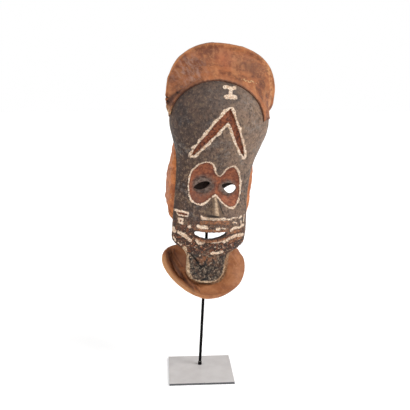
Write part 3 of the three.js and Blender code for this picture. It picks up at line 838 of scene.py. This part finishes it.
# The back cloth
def back_rows(levels, around):
    """Rows of points over the back, from the hem up, from one cheek round to the other."""
    place, up = np.meshgrid(1 - 2 * around, levels)
    beyond = np.maximum(up - 1, 0)
    height = mix(hem_height(place), BACK_TOP, np.minimum(up, 1)) + CROWN_RISE * beyond
    side = np.abs(place)
    left = place < 0
    rim = hoop_width(height, left)
    wide = np.minimum(side_width(height), rim - RIM_INSET)
    tuck = np.where(left, TUCK_LEFT, TUCK_RIGHT)
    arch = smooth(height, tuck, tuck + TUCK_BLEND)
    front = mix(rear_depth(height), HOOP_DEPTH, arch) + EDGE_GAP
    edge = mix(face_width(height) - CHEEK_INSET, rim - FLAP_INSET, arch)
    deep = back_depth(height)
    middle = np.minimum(SIDE_DEPTH + SIDE_SWELL * arch, deep - BACK_WALL)
    middle = np.maximum(middle, front + 1)
    k = np.clip((side - 1 + BACK_FLANK) / BACK_FLANK, 0, 1)
    angle = np.radians(90 * np.minimum(side / (1 - BACK_FLANK), 1))
    flank = side > 1 - BACK_FLANK
    x = np.where(flank, mix(wide, edge, k * k), wide * np.sin(angle))
    around_y = mix(middle, deep, np.maximum(np.cos(angle), 0) ** 0.9)
    y = np.where(flank, mix(middle, front, k), around_y)
    y = mix(y, HOOP_DEPTH + EDGE_GAP, beyond / CROWN_FOLD * (y > HOOP_DEPTH))
    bulge = smooth(place, 0.45, 0.72) * (1 - 0.85 * smooth(place, 0.84, 0.99))
    x = np.sign(place) * x + flap_out(height) * bulge
    return np.stack([x, y, height], axis=2), place, up


def build_back():
    levels = spread(0, (60, 0.6), (40, 0.9), (26, 1), (5, 1 + CROWN_FOLD))
    rows, place, up = back_rows(levels, np.linspace(0, 1, BACK_COLUMNS))
    x, y, z = axes(rows)
    wave = partial(noise, x, y, z)
    free = smooth(1 - np.abs(place), 0, 0.08) * smooth(1 - up, 0, 0.1)
    calm = 1 - 0.75 * smooth(place, 0.4, 0.7)
    folds = 1.6 * noise(x, y, z * 0.45, 22, 31) + 0.7 * wave(10, 32)
    folds = folds * (0.4 + 0.6 * calm)
    flap = smooth(np.abs(place), 0.6, 0.8) * smooth(60 - z, -30, 40)
    folds += 0.9 * calm * flap * np.sin(z / 7.5 + 2.5 * wave(24, 33))
    side = smooth(np.abs(place), 0.5, 0.75) * calm
    for deep, height, tilt in FLAP_CREASES:
        line = z - height - tilt * np.sin(y / 19) - 3 * wave(20, 35)
        folds -= deep * side * bell(line, 3.2)
        folds += 0.45 * deep * side * bell(line - 8, 5)
    folds = folds * free
    seam = (place - SEAM - 0.012 * wave(40, 36)) * SEAM_REACH
    folds += 1.7 * smooth(-seam, -0.8, 0.8) * smooth(seam, -34, -3)
    beside_seam = rows[:, round((1 - SEAM) / 2 * (BACK_COLUMNS - 1))]
    steps = np.linalg.norm(np.diff(beside_seam, axis=0), axis=1)
    run = np.append(0, np.cumsum(steps))[:, None] + 0 * up
    folds -= 0.7 * bell(seam + SEAM_STITCH, 0.9) * (0.5 + 0.5 * np.sin(run * STITCH_TURN))
    hem = run + 0.8 * wave(30, 37)
    folds += 1.3 * smooth(HEM_FOLD - hem, 0, 1.4) * smooth(hem, 0, 2)
    waves = np.sin(place * 13 + 1.5 * wave(90, 38))
    folds += 2.2 * free * waves * smooth(150 - z, 0, 120)
    taper = 1 - 0.45 * np.exp(-up / 0.008) - 0.45 * np.exp(-(1 - np.abs(place)) / 0.012)
    back = sheet("back", rows, BACK_WALL * taper, folds + 0.18 * wave(4, 34), folds)
    left = trim(back, face_block(), hood_block())
    places = places_of(back)
    keep(
        back,
        part=both(place)[left],
        inner=inner_of(up)[left],
        seam=both(seam)[left],
        hem=both(hem)[left],
        run=both(run)[left],
        height=places[:, 2],
        spot=np.linalg.norm((places - STAIN) / STAIN_SIZE, axis=1),
        lie=lie_of(place * BACK_REACH, run)[left],
    )
    shade(back, 45)
    return back


# The collar
def collar_rows(across, around):
    """Rows of points over the collar from the jaw outwards, with their angles from the left."""
    part, out = np.meshgrid(around, across)
    angle = mix(COLLAR_FIRST, COLLAR_LAST, part)
    left = angle < 90
    power = 2 / np.where(left, COLLAR_LEFT_POWER, COLLAR_RIGHT_POWER)
    level = np.abs(np.cos(np.radians(angle)))
    down = np.sin(np.radians(angle))
    low = np.maximum(down, 0)
    x = COLLAR_WIDE * np.where(down < 0, level, level ** power)
    z = COLLAR_Z - np.where(down < 0, COLLAR_HIGH * down, COLLAR_LOW * low ** power)
    y = COLLAR_DEPTH + COLLAR_SLOPE * (z - COLLAR_Z)
    rim = np.stack([COLLAR_X + np.where(left, -x, x), y, z], axis=2)
    chin_x = (CHIN_WIDE - COLLAR_INSET) * level ** (2 / 3)
    chin_z = CHIN_TOP - CHIN_HIGH * low ** (2 / 3)
    rise = np.clip(down / math.sin(math.radians(COLLAR_FIRST)), 0, 1)
    jaw_z = mix(CHIN_TOP, COLLAR_JAW, rise)
    x = np.where(down < 0, face_width(jaw_z) - COLLAR_INSET, chin_x)
    z = np.where(down < 0, jaw_z, chin_z)
    root = np.stack([np.where(left, -x, x), rear_depth(z) + COLLAR_ROOT, z], axis=2)
    ends = np.where(left, rounded_end(part, 0.03, 0.8), rounded_end(part, 0.06, 0.6))
    rows = mix(root, mix(root, rim, ends[..., None]), out[..., None])
    valley = COLLAR_VALLEY * (1 - smooth(angle, 40, 110))
    valley = valley - COLLAR_PILLOW * smooth(angle, 100, 150)
    valley = valley * smooth(np.minimum(part, 1 - part), -0.01, 0.07)
    rows[..., 1] += valley * np.sin(math.pi * out ** 1.45)
    return rows, part, out, angle


def build_collar():
    across = spread(0, (44, 0.84), (22, 1))
    rows, part, out, angle = collar_rows(across, np.linspace(0, 1, COLLAR_COLUMNS))
    x, y, z = axes(rows)
    wave = partial(noise, x, y, z)
    free = smooth(out, 0.02, 0.2) * smooth(1 - out, 0.02, 0.2)
    folds = 1.1 * free * wave(30, 41) + 0.4 * free * wave(12, 42)
    shut = smooth(1 - out, 0.04, 0.2)
    for deep, wide, path in COLLAR_CREASES:
        folds = folds - deep * shut * near(x, z, path, wide)
    torn = bell(out - 0.22 - 0.04 * wave(6, 46), 0.05)
    torn = torn * smooth(angle, 62, 84) * (1 - smooth(angle, 170, 190))
    folds += 2.2 * torn * (1 + 0.7 * wave(3, 47))
    thick = collar_thickness(out) * (1 + 0.1 * wave(16, 45))
    thick = thick * (1 - 0.5 * nearly_end(part))
    collar = sheet("collar_cloth", rows, thick, folds + 0.18 * wave(4.5, 44), folds)
    left = trim(collar, face_block())
    x, y, z = places_of(collar).T
    deepest, second, third = (distance(x, z, path) for *_, path in COLLAR_CREASES[:3])
    keep(
        collar,
        out=both(out)[left],
        angle=both(angle)[left],
        inner=inner_of(out)[left],
        crease=deepest,
        crease2=np.minimum(second, third),
        lie=lie_of(part * COLLAR_LENGTH, out * COLLAR_ACROSS)[left],
    )
    shade(collar, 50)
    return collar


# Materials
def linear(text):
    """A colour from its six hexadecimal digits, made linear."""
    parts = [int(text[i:i + 2], 16) / 255 for i in (0, 2, 4)]
    return tuple(
        c / 12.92 if c < 0.04045 else ((c + 0.055) / 1.055) ** 2.4 for c in parts
    ) + (1.0,)


class Finish:
    """A material, whose colour is laid on paint by paint.

    A value is a number, the output of a node, or the name of a number that the mesh keeps.
    """

    def __init__(self, name, specular, roughness=0.7):
        self.material = bpy.data.materials.new(name)
        self.material.use_nodes = True
        self.tree = self.material.node_tree
        self.shader = self.tree.nodes["Principled BSDF"]
        self.shader.inputs["Roughness"].default_value = roughness
        self.shader.inputs["Specular IOR Level"].default_value = specular
        self.solid_place = self.node("ShaderNodeTexCoord", "Object")
        self.colour = None

    def node(self, kind, output, inputs=(), **settings):
        """An output of a new node, with its settings and its inputs as pairs of name and value."""
        made = self.tree.nodes.new(kind)
        for key, value in settings.items():
            setattr(made, key, value)
        for key, value in inputs:
            if isinstance(value, str):
                value = self.read(value)
            if isinstance(value, bpy.types.NodeSocket):
                self.tree.links.new(value, made.inputs[key])
            else:
                made.inputs[key].default_value = value
        return made.outputs[output]

    def read(self, name, output="Fac"):
        return self.node("ShaderNodeAttribute", output, attribute_name=name)

    def math(self, operation, *values):
        return self.node("ShaderNodeMath", 0, enumerate(values), operation=operation)

    def times(self, a, b):
        return self.math("MULTIPLY", a, b)

    def plus(self, a, b, share=1.0):
        """A value and a share of another one."""
        return self.math("MULTIPLY_ADD", b, share, a)

    def size(self, a):
        return self.math("ABSOLUTE", a)

    def between(self, value, low, high):
        """0 at the low value and 1 at the high one, or 1 and 0 where the low one is greater."""
        ends = [("From Min", min(low, high)), ("From Max", max(low, high))]
        ends += [("To Min", float(low > high)), ("To Max", float(low < high))]
        inputs = [("Value", value), *ends]
        return self.node("ShaderNodeMapRange", "Result", inputs, interpolation_type="SMOOTHSTEP")

    def spaced(self, size, shift=0.0, stretch=(1, 1, 1), lie=None):
        """Texture places in which a feature of a size in millimetres is 1 long."""
        unit = 1000 if lie is None else 1
        return self.node("ShaderNodeMapping", "Vector", [
            ("Vector", lie or self.solid_place),
            ("Scale", [unit / size / s for s in stretch]),
            ("Location", (shift, shift * 1.7, shift * 0.6)),
        ])

    def grain(self, size, detail=4, rough=0.7, shift=0.0, stretch=(1, 1, 1), lie=None):
        """Noise with features of a size in millimetres."""
        return self.node("ShaderNodeTexNoise", "Fac", [
            ("Vector", self.spaced(size, shift, stretch, lie)),
            ("Scale", 1.0), ("Detail", detail), ("Roughness", rough),
        ])

    def cells(self, size, shift):
        """How far places are from the middles of round lumps."""
        inputs = [("Vector", self.spaced(size, shift)), ("Scale", 1.0)]
        return self.node("ShaderNodeTexVoronoi", "Distance", inputs, feature="SMOOTH_F1")

    def field(self, name, ragged, size, soft=0.45):
        """1 where a kept distance is less than 0, with a ragged edge."""
        wobble = self.plus(self.grain(size, 4, 0.65), -0.5)
        return self.between(self.plus(name, wobble, ragged * 2), soft, -soft)

    def blend(self, amount, under, over):
        under, over = (linear(v) if isinstance(v, str) else v for v in (under, over))
        return self.node("ShaderNodeMix", 2, [(0, amount), (6, under), (7, over)], data_type="RGBA")

    def tones(self, value, low, high, first, second):
        """One colour at the low value and another at the high one."""
        return self.blend(self.between(value, low, high), first, second)

    def over(self, under, paint, amount, *masks):
        """A colour with an amount of paint over it, where all the masks are 1.

        A mask is a value, or a value and where it is 0 and 1.
        """
        for mask in masks:
            amount = self.times(self.between(*mask) if isinstance(mask, tuple) else mask, amount)
        return self.blend(amount, under, paint)

    def lay(self, paint, amount, *masks):
        self.colour = self.over(self.colour, paint, amount, *masks)

    def finish(self, height, rough):
        """The material, with its relief in millimetres and its roughness."""
        bump = self.node(
            "ShaderNodeBump", "Normal", [("Distance", 0.001), ("Strength", 1.0), ("Height", height)]
        )
        for name, value in (("Base Color", self.colour), ("Roughness", rough), ("Normal", bump)):
            self.tree.links.new(value, self.shader.inputs[name])
        return self.material


def face_finish():
    f = Finish("face_resin", 0.32)
    blotch = f.grain(34, 5, 0.6)
    patchy = f.grain(13, 4, 0.65, shift=11)
    fine = f.grain(5, 6, 0.7, shift=3)
    fleck = f.grain(3.6, shift=27, stretch=(1, 1, 1.6))
    brushed = f.grain(4.4, 5, 0.7, shift=14, stretch=(1, 1, 1.9))
    worn = f.grain(8, 6, 0.72, shift=44, stretch=(1.4, 1, 1))
    f.colour = f.tones(blotch, 0.38, 0.62, "382b25", "624d41")
    f.lay("785844", 0.75, (patchy, 0.52, 0.66))
    f.lay("262124", 0.7, (patchy, 0.48, 0.36))
    f.lay("a68973", 0.46, "pale")
    # Darker towards the left, below the forehead's top
    f.lay("2d1a10", 0.62, "murk")
    f.lay("1a1411", 0.6, (brushed, 0.47, 0.34))
    f.lay("9d8371", 0.36, (brushed, 0.54, 0.7))
    f.lay("93795c", 0.62, (worn, 0.53, 0.64))
    f.lay("262321", 0.62, (worn, 0.47, 0.37))
    f.lay("6e7377", 0.35, (blotch, 0.5, 0.42), (worn, 0.48, 0.58))
    f.lay("bb9a7f", 0.45, (fleck, 0.54, 0.68))
    f.lay("1a120d", 0.66, (fleck, 0.48, 0.32))
    # Browner towards the left
    f.lay("361d0d", f.plus(0.04, f.between("side", 70, -70), 0.2))
    # Smudges round the forehead's mark, and the face darker towards its upper left
    f.lay("352b26", 0.5, (f.plus("mark", blotch, 14), 38, 20))
    f.lay("272022", 0.35, ("height", 60, 150), ("side", 60, -60))
    # Jaw
    f.lay("341a10", 0.92, "jaw", (f.grain(10, 5, 0.7, shift=2), 0.3, 0.58))
    f.lay("8b4e2d", 0.78, "jaw", (f.grain(5, 4, 0.72, shift=5), 0.5, 0.6))
    f.lay("170e0b", 0.9, "jaw", (f.grain(4.5, shift=31), 0.5, 0.4))
    f.lay("d3b294", 0.85, "jaw", (f.grain(4, shift=17), 0.58, 0.65))
    # Crust and crack of the chin
    lumps = f.cells(6, shift=1)
    crust = f.tones(lumps, 0.1, 0.6, "5c4f43", "14100e")
    crust = f.over(crust, "a8947e", 0.85, (f.grain(4.4, shift=9), 0.53, 0.64))
    crust = f.over(crust, "0e0a09", 0.9, (f.grain(4, shift=19), 0.49, 0.39))
    rust = f.plus(0.14, "rusty", 0.7)
    crust = f.over(crust, "8a5533", rust, (f.grain(8, 4, 0.65, shift=15), 0.42, 0.6))
    f.lay(crust, "chin")
    f.lay("0a0807", 0.9, "chin", ("crack", 2.4, 0.6))
    # Nose, with painted shade down its right flank
    bridge = f.tones(brushed, 0.38, 0.6, "43342a", "786048")
    f.lay(bridge, 0.6, f.field("nose", 1.6, 5, soft=1.8))
    pale = f.tones(fine, 0.38, 0.6, "8c7359", "c4a88b")
    f.lay(pale, 0.92, f.field("ridge", 2.4, 5, soft=2.4), (brushed, 0.27, 0.44))
    # Painted shade along the nose's right flank
    flank = f.plus("flank", f.grain(5, shift=46), 2.4)
    f.lay("1a130f", 0.85, (flank, 3.4, 1.4))
    # Red fields, darker at their borders and in the forehead's groove, with painted shade over
    # their lower left
    paint = f.tones(f.grain(9, 5, 0.7, shift=4), 0.36, 0.64, "663220", "995737")
    paint = f.over(paint, "ad7c58", 0.4, (fleck, 0.56, 0.68))
    paint = f.over(paint, "3b2016", 0.4, (fleck, 0.44, 0.34))
    # Painted shade over the lower left of the red fields
    paint = f.over(paint, "4a2a19", 0.5, "low")
    border = f.plus("red", f.plus(f.grain(6, shift=37), -0.5), 5)
    paint = f.over(paint, "4d2416", 0.6, (border, -5, -2.2))
    floor = f.tones(f.grain(5, shift=41), 0.36, 0.6, "3f1c12", "8f4f31")
    paint = f.over(paint, floor, f.between("deep", 1.2, 3))
    f.lay(paint, f.field("red", 0.5, 3))
    # Eyelids, orange strokes, the painted shadow under the nose, and cream and beige strokes
    haze = f.plus("lids", f.plus(f.grain(7, 4, 0.6, shift=33), -0.5), 12)
    f.lay(f.tones(fine, 0.36, 0.62, "1f1c1b", "6d6259"), 0.86, (haze, 6, -6))
    orange = f.tones(fine, 0.35, 0.65, "7c4829", "b67a52")
    dry = f.grain(4, 5, 0.7, shift=21)
    f.lay(orange, 0.85, f.field("orange", 3.4, 5, soft=1.2), (dry, 0.4, 0.54))
    f.lay("120d0b", 0.9, ("under", 1.2, 0.5))
    whole = f.between(f.grain(3.4, 4, 0.75, shift=8), 0.37, 0.45)
    cream = f.times(f.field("cream", 2.8, 3.4, soft=0.5), whole)
    milk = f.tones(f.grain(3.6, 4, 0.72, shift=6), 0.36, 0.62, "c09877", "efdcc6")
    f.lay(f.over(milk, "8e6245", 0.4, (fleck, 0.56, 0.68)), 0.96, cream)
    beige = f.tones(fine, 0.36, 0.6, "9c7855", "dec2a2")
    f.lay(beige, 0.92, f.field("beige", 3.4, 3.4, soft=0.8), whole)
    # Edge towards the cloth, and the inside, painted dark as shade
    f.lay("a88b6b", 0.75, ("edge", 3.4, 1.2), (f.grain(8, 4, 0.6, shift=12), 0.42, 0.56))
    # Painted shade over the inside of the shell, deep in its holes and on its rear
    inside = f.tones(f.grain(9, 5, 0.65, shift=13), 0.35, 0.65, "120d0a", "2b2019")
    hollow = f.math("MAXIMUM", f.between("deep", 5.2, 6.4), f.between("rear", 0.9, 1))
    f.lay(inside, hollow)
    height = f.times(f.grain(2.6, 5, 0.7, shift=1), 1.1)
    for more, share in (
        (f.grain(0.9, 3, 0.6, shift=2), 0.3),
        (brushed, 0.6),
        (cream, 0.4),
        (f.times("chin", f.between(lumps, 0.7, 0.1)), 1.6),
        (f.times("jaw", f.grain(3.4, shift=5)), 1.6),
    ):
        height = f.plus(height, more, share)
    return f.finish(height, f.plus(0.36, fine, 0.3))


class Barkcloth(Finish):
    """Beaten bark cloth: felted fibres that lie both ways, with a rubbed surface."""

    def __init__(self, name, dark, plain, light, roughness=0.55):
        super().__init__(name, 0.26, roughness)
        self.shader.inputs["Sheen Weight"].default_value = 0.06
        self.shader.inputs["Sheen Roughness"].default_value = 0.5
        lie = self.read("lie", "Vector")
        self.mottle = self.grain(22, 5, 0.62)
        self.small = self.grain(6, 5, 0.68, shift=4)
        along = self.grain(1, 4, 0.6, stretch=(9, 0.8, 1), lie=lie)
        across = self.grain(1, 4, 0.6, shift=5, stretch=(0.8, 7, 1), lie=lie)
        self.colour = self.tones(self.mottle, 0.36, 0.62, dark, plain)
        self.lay(light, 0.65, (self.small, 0.48, 0.72))
        self.lay(dark, 0.55, (self.small, 0.46, 0.28))
        self.lay(light, 0.35, (along, 0.55, 0.75))
        self.lay(dark, 0.3, (across, 0.44, 0.25))
        self.height = self.times(along, 0.35)
        grit = self.grain(0.8, 3, 0.6, shift=3)
        for more, share in ((across, 0.3), (self.small, 0.6), (grit, 0.12)):
            self.height = self.plus(self.height, more, share)
        self.rough = self.plus(roughness - 0.12, self.small, 0.25)

    def fuzzy(self, name, share):
        """A kept number, made uneven by the small grain."""
        return self.plus(name, self.small, share)

    def done(self):
        return self.finish(self.height, self.rough)


def hood_finish():
    f = Barkcloth("hood_barkcloth", "693a22", "925634", "b17a4e")
    fan = f.read("fan", "Vector")
    rays = f.grain(1, 5, 0.62, stretch=(19, 40, 30), lie=fan)
    sweep = f.grain(30, 5, 0.66, shift=12, stretch=(2.2, 1, 0.7))
    f.lay("b26b3d", 0.5, (sweep, 0.5, 0.62))
    f.lay("5f3322", 0.6, (sweep, 0.46, 0.34))
    f.lay("bb7f52", 0.5, (rays, 0.5, 0.66))
    f.lay("5b2f20", 0.6, (rays, 0.46, 0.32))
    smear = f.grain(1, 5, 0.7, shift=8, stretch=(8, 15, 16), lie=fan)
    f.lay("6a3d28", 0.4, "bloom")
    f.lay("a3877a", 0.46, "bloom", (smear, 0.44, 0.62))
    f.lay("5a3326", 0.7, "bloom", (smear, 0.44, 0.3))
    f.lay("a9532b", 0.45, "warm", (rays, 0.3, 0.6))
    f.lay("623820", 0.75, "dull")
    f.lay("c9905f", 0.65, ("streak", 8, 1), (f.small, 0.4, 0.56))
    # Root, rolled ochre rim that is paler on its left as a painted highlight, and painted shade in
    # the crease
    root = f.fuzzy("out", 0.04)
    f.lay("ab6a42", 0.5, (root, 0.16, 0.07))
    f.lay("331b11", 0.72, (root, 0.05, 0.03))
    # The rim's own ochre, with a painted highlight added on its left part
    ochre_and_highlight = f.plus(0.25, f.between("part", 0.42, 0.2), 0.35)
    f.lay("c07f49", ochre_and_highlight, (f.fuzzy("out", 0.06), 0.93, 0.985))
    # Painted shade in the crease, deepest on the left
    crease_shade = f.plus(0.45, f.between("part", 0.3, 0.12), 0.35)
    f.lay("34190f", crease_shade, (f.fuzzy("crease", 5), 9, 2.4))
    # Torn threads with painted shade in their slits, raw tab, nicks painted dark as shade, and the
    # inner side painted darker as shade
    frayed = f.grain(2.4, 4, 0.75, shift=9)
    broken = f.grain(8, 3, 0.6, shift=29)
    threads = f.plus("tears", frayed, 12)
    f.lay("d8ab78", 0.9, (threads, 8.8, 7.2), (broken, 0.47, 0.54))
    # Painted shade in the tears' slits
    f.lay("381d12", 0.75, (f.plus("tears", frayed, 9), 5.4, 4.4))
    outside = f.plus(1, "inner", -0.8)
    f.lay("c4a477", 0.85, "raw", (f.small, 0.4, 0.54), outside)
    # Painted shade in the nicks
    f.lay("1c110d", 0.9, ("nick", 3, 1.2))
    # Painted shade on the inner side
    f.lay("5c3424", 0.5, "inner")
    return f.done()


def back_finish():
    f = Barkcloth("back_barkcloth", "8f4d2b", "bb703e", "d3925f", 0.62)
    f.lay("8b5030", 0.5, (f.grain(30, 4, 0.6, shift=6, stretch=(1, 1, 2.5)), 0.5, 0.66))
    f.lay("5e3423", 0.45, (f.plus("height", f.mottle, 60), 150, 280))
    f.lay("a78570", 0.45, (f.grain(18, 5, 0.7, shift=16), 0.54, 0.66))
    # Seam and hem, each with its stitches beside it
    stitched = f.math("SINE", f.times("run", STITCH_TURN))
    f.lay("4a2617", 0.6, (f.size("seam"), 1.6, 0.4))
    f.lay("cdb48c", 0.85, (f.size(f.plus("seam", SEAM_STITCH)), 1.2, 0.5), (stitched, 0.1, 0.4))
    stitched = f.math("SINE", f.times("part", HEM_STITCH_TURN))
    f.lay("c0a47c", 0.7, (f.size(f.plus("hem", -HEM_STITCH)), 1.2, 0.5), (stitched, 0.1, 0.4))
    f.lay("4a2617", 0.6, (f.size(f.plus("hem", -HEM_FOLD - 0.4)), 1.3, 0.3))
    f.lay("c08a5c", 0.5, ("hem", 2.5, 0.5))
    f.lay("33190f", 0.85, (f.fuzzy("spot", 0.5), 1.1, 0.6))
    # Painted shade on the inner side
    f.lay("180d09", 0.96, "inner")
    return f.done()


def collar_finish():
    f = Barkcloth("collar_barkcloth", "98592f", "ba7a4a", "cf9565", 0.48)
    f.lay("8b5638", 0.5, (f.grain(16, 4, 0.62, shift=6, stretch=(1.6, 1, 1)), 0.5, 0.68))
    # Painted shade in the creases
    f.lay("24110a", 0.94, (f.fuzzy("crease", 4), 8.5, 2.5))
    f.lay("482616", 0.75, (f.fuzzy("crease2", 3), 4.6, 1.5))
    # Painted shadow under the jaw, over the collar's upper left
    f.lay("4e2d1e", 0.45, ("angle", 34, -6), ("out", 0.9, 0.7))
    # Painted highlight along the left of the rim
    f.lay("bf905f", 0.6, ("out", 0.84, 0.93), ("angle", 95, 40), ("angle", -14, -4))
    ragged = f.plus("out", f.grain(3, 5, 0.75, shift=7), 0.26)
    fibre = f.tones(f.grain(2, 4, 0.72, shift=18), 0.4, 0.6, "6d4a30", "d5b78f")
    f.lay(fibre, 0.9, (ragged, 0.45, 0.36), ("angle", 62, 88))
    # Painted shade on the inner side
    f.lay("6b4029", 0.5, "inner")
    return f.done()


def plate_finish():
    f = Finish("grey_metal", 0.5)
    worn = f.grain(26, 4, 0.55)
    fine = f.grain(0.9, 3, 0.6, shift=2)
    f.colour = f.tones(worn, 0.3, 0.7, "bfbab8", "c8c4c2")
    f.lay("a39e9b", 0.25, (fine, 0.62, 0.8))
    level = f.node("ShaderNodeSeparateXYZ", "Z", [(0, f.solid_place)])
    f.lay("48484b", f.between(level, PLATE_TOP - 0.0002, PLATE_TOP - 0.0006))
    return f.finish(f.times(fine, 0.04), f.plus(0.3, worn, 0.1))


def black_finish():
    f = Finish("black_metal", 0.04)
    worn = f.grain(6, 5, 0.65)
    f.colour = f.tones(worn, 0.4, 0.7, "09080a", "131113")
    f.lay("3c3836", 0.3, (f.grain(2, shift=3), 0.66, 0.78))
    level = f.node("ShaderNodeSeparateXYZ", "Z", [(0, f.solid_place)])
    f.lay("8c8884", 0.7, (f.size(f.plus(level, -RING_HEIGHT)), 0.0006, 0.0003))
    height = f.times(f.grain(1.2, 3, 0.6, shift=4), 0.05)
    return f.finish(height, f.plus(0.45, worn, 0.2))


# Build
def put(piece, name, node, material):
    """Puts a piece of the mask in the row's frame, in place of its solid."""
    piece.name = name
    piece.data.transform(MASK_PLACE)
    piece.data.materials.clear()
    piece.data.materials.append(material)
    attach(piece, "root")
    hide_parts(node)


face = build_face()
hood = build_hood()
back = build_back()
collar = build_collar()
put(face, "painted_face", "face_shell", face_finish())
put(hood, "hood_cloth", "hood_brim", hood_finish())
put(back, "head_cloth", "back_cloth", back_finish())
put(collar, "collar_cloth", "collar", collar_finish())

black_material = black_finish()
for node, material in (
    ("base_plate", plate_finish()), ("rod_socket", black_material), ("rod", black_material)
):
    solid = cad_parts[node]
    solid.data.materials.clear()
    solid.data.materials.append(material)


# Floor, backdrop, light and camera
def stage_mesh(name, form, brightness, glow):
    """A plain, evenly lit piece of the stage, from an open mesh."""
    data = bpy.data.meshes.new(name)
    form.to_mesh(data)
    form.free()
    piece = add_object(name, data)
    material = bpy.data.materials.new(name)
    material.use_nodes = True
    inputs = material.node_tree.nodes["Principled BSDF"].inputs
    inputs["Base Color"].default_value = (brightness, brightness, brightness, 1)
    inputs["Roughness"].default_value = 1
    inputs["Specular IOR Level"].default_value = 0
    inputs["Emission Color"].default_value = (1, 1, 1, 1)
    inputs["Emission Strength"].default_value = glow
    data.materials.append(material)
    return piece


form = bmesh.new()
bmesh.ops.create_circle(form, cap_ends=True, radius=9, segments=96)
stage_mesh("floor", form, brightness=0.9, glow=0.3)
form = bmesh.new()
bmesh.ops.create_uvsphere(form, u_segments=64, v_segments=32, radius=10)
backdrop = stage_mesh("backdrop", form, brightness=0, glow=1)
backdrop.visible_diffuse = False
backdrop.visible_shadow = False
backdrop.visible_glossy = False

world = bpy.data.worlds.new("studio")
world.use_nodes = True
world.node_tree.nodes["Background"].inputs["Color"].default_value = (1, 1, 1, 1)
world.node_tree.nodes["Background"].inputs["Strength"].default_value = 0.42
bpy.context.scene.world = world


def soft_sun(name, azimuth, elevation, strength, spread_angle):
    """A soft light from a direction; azimuth 0 is straight in front and 90 at the right."""
    lamp = bpy.data.lights.new(name, "SUN")
    lamp.energy = strength
    lamp.angle = math.radians(spread_angle)
    piece = add_object(name, lamp)
    a, e = math.radians(azimuth), math.radians(elevation)
    towards = Vector((math.sin(a) * math.cos(e), -math.cos(a) * math.cos(e), math.sin(e)))
    piece.rotation_mode = "QUATERNION"
    piece.rotation_quaternion = towards.to_track_quat("Z", "Y")


soft_sun("key", azimuth=58, elevation=42, strength=2.5, spread_angle=34)
soft_sun("fill", azimuth=-64, elevation=32, strength=1, spread_angle=60)

camera_data = bpy.data.cameras.new("camera")
camera_data.sensor_width = 36
camera_data.lens = CAMERA_LENS
camera = add_object("camera", camera_data)
camera.location = CAMERA_PLACE
camera.rotation_euler = Euler((math.radians(90 - CAMERA_DIP), 0, math.radians(-CAMERA_TURN)))
bpy.context.scene.camera = camera
bpy.context.scene.view_settings.view_transform = "Standard"
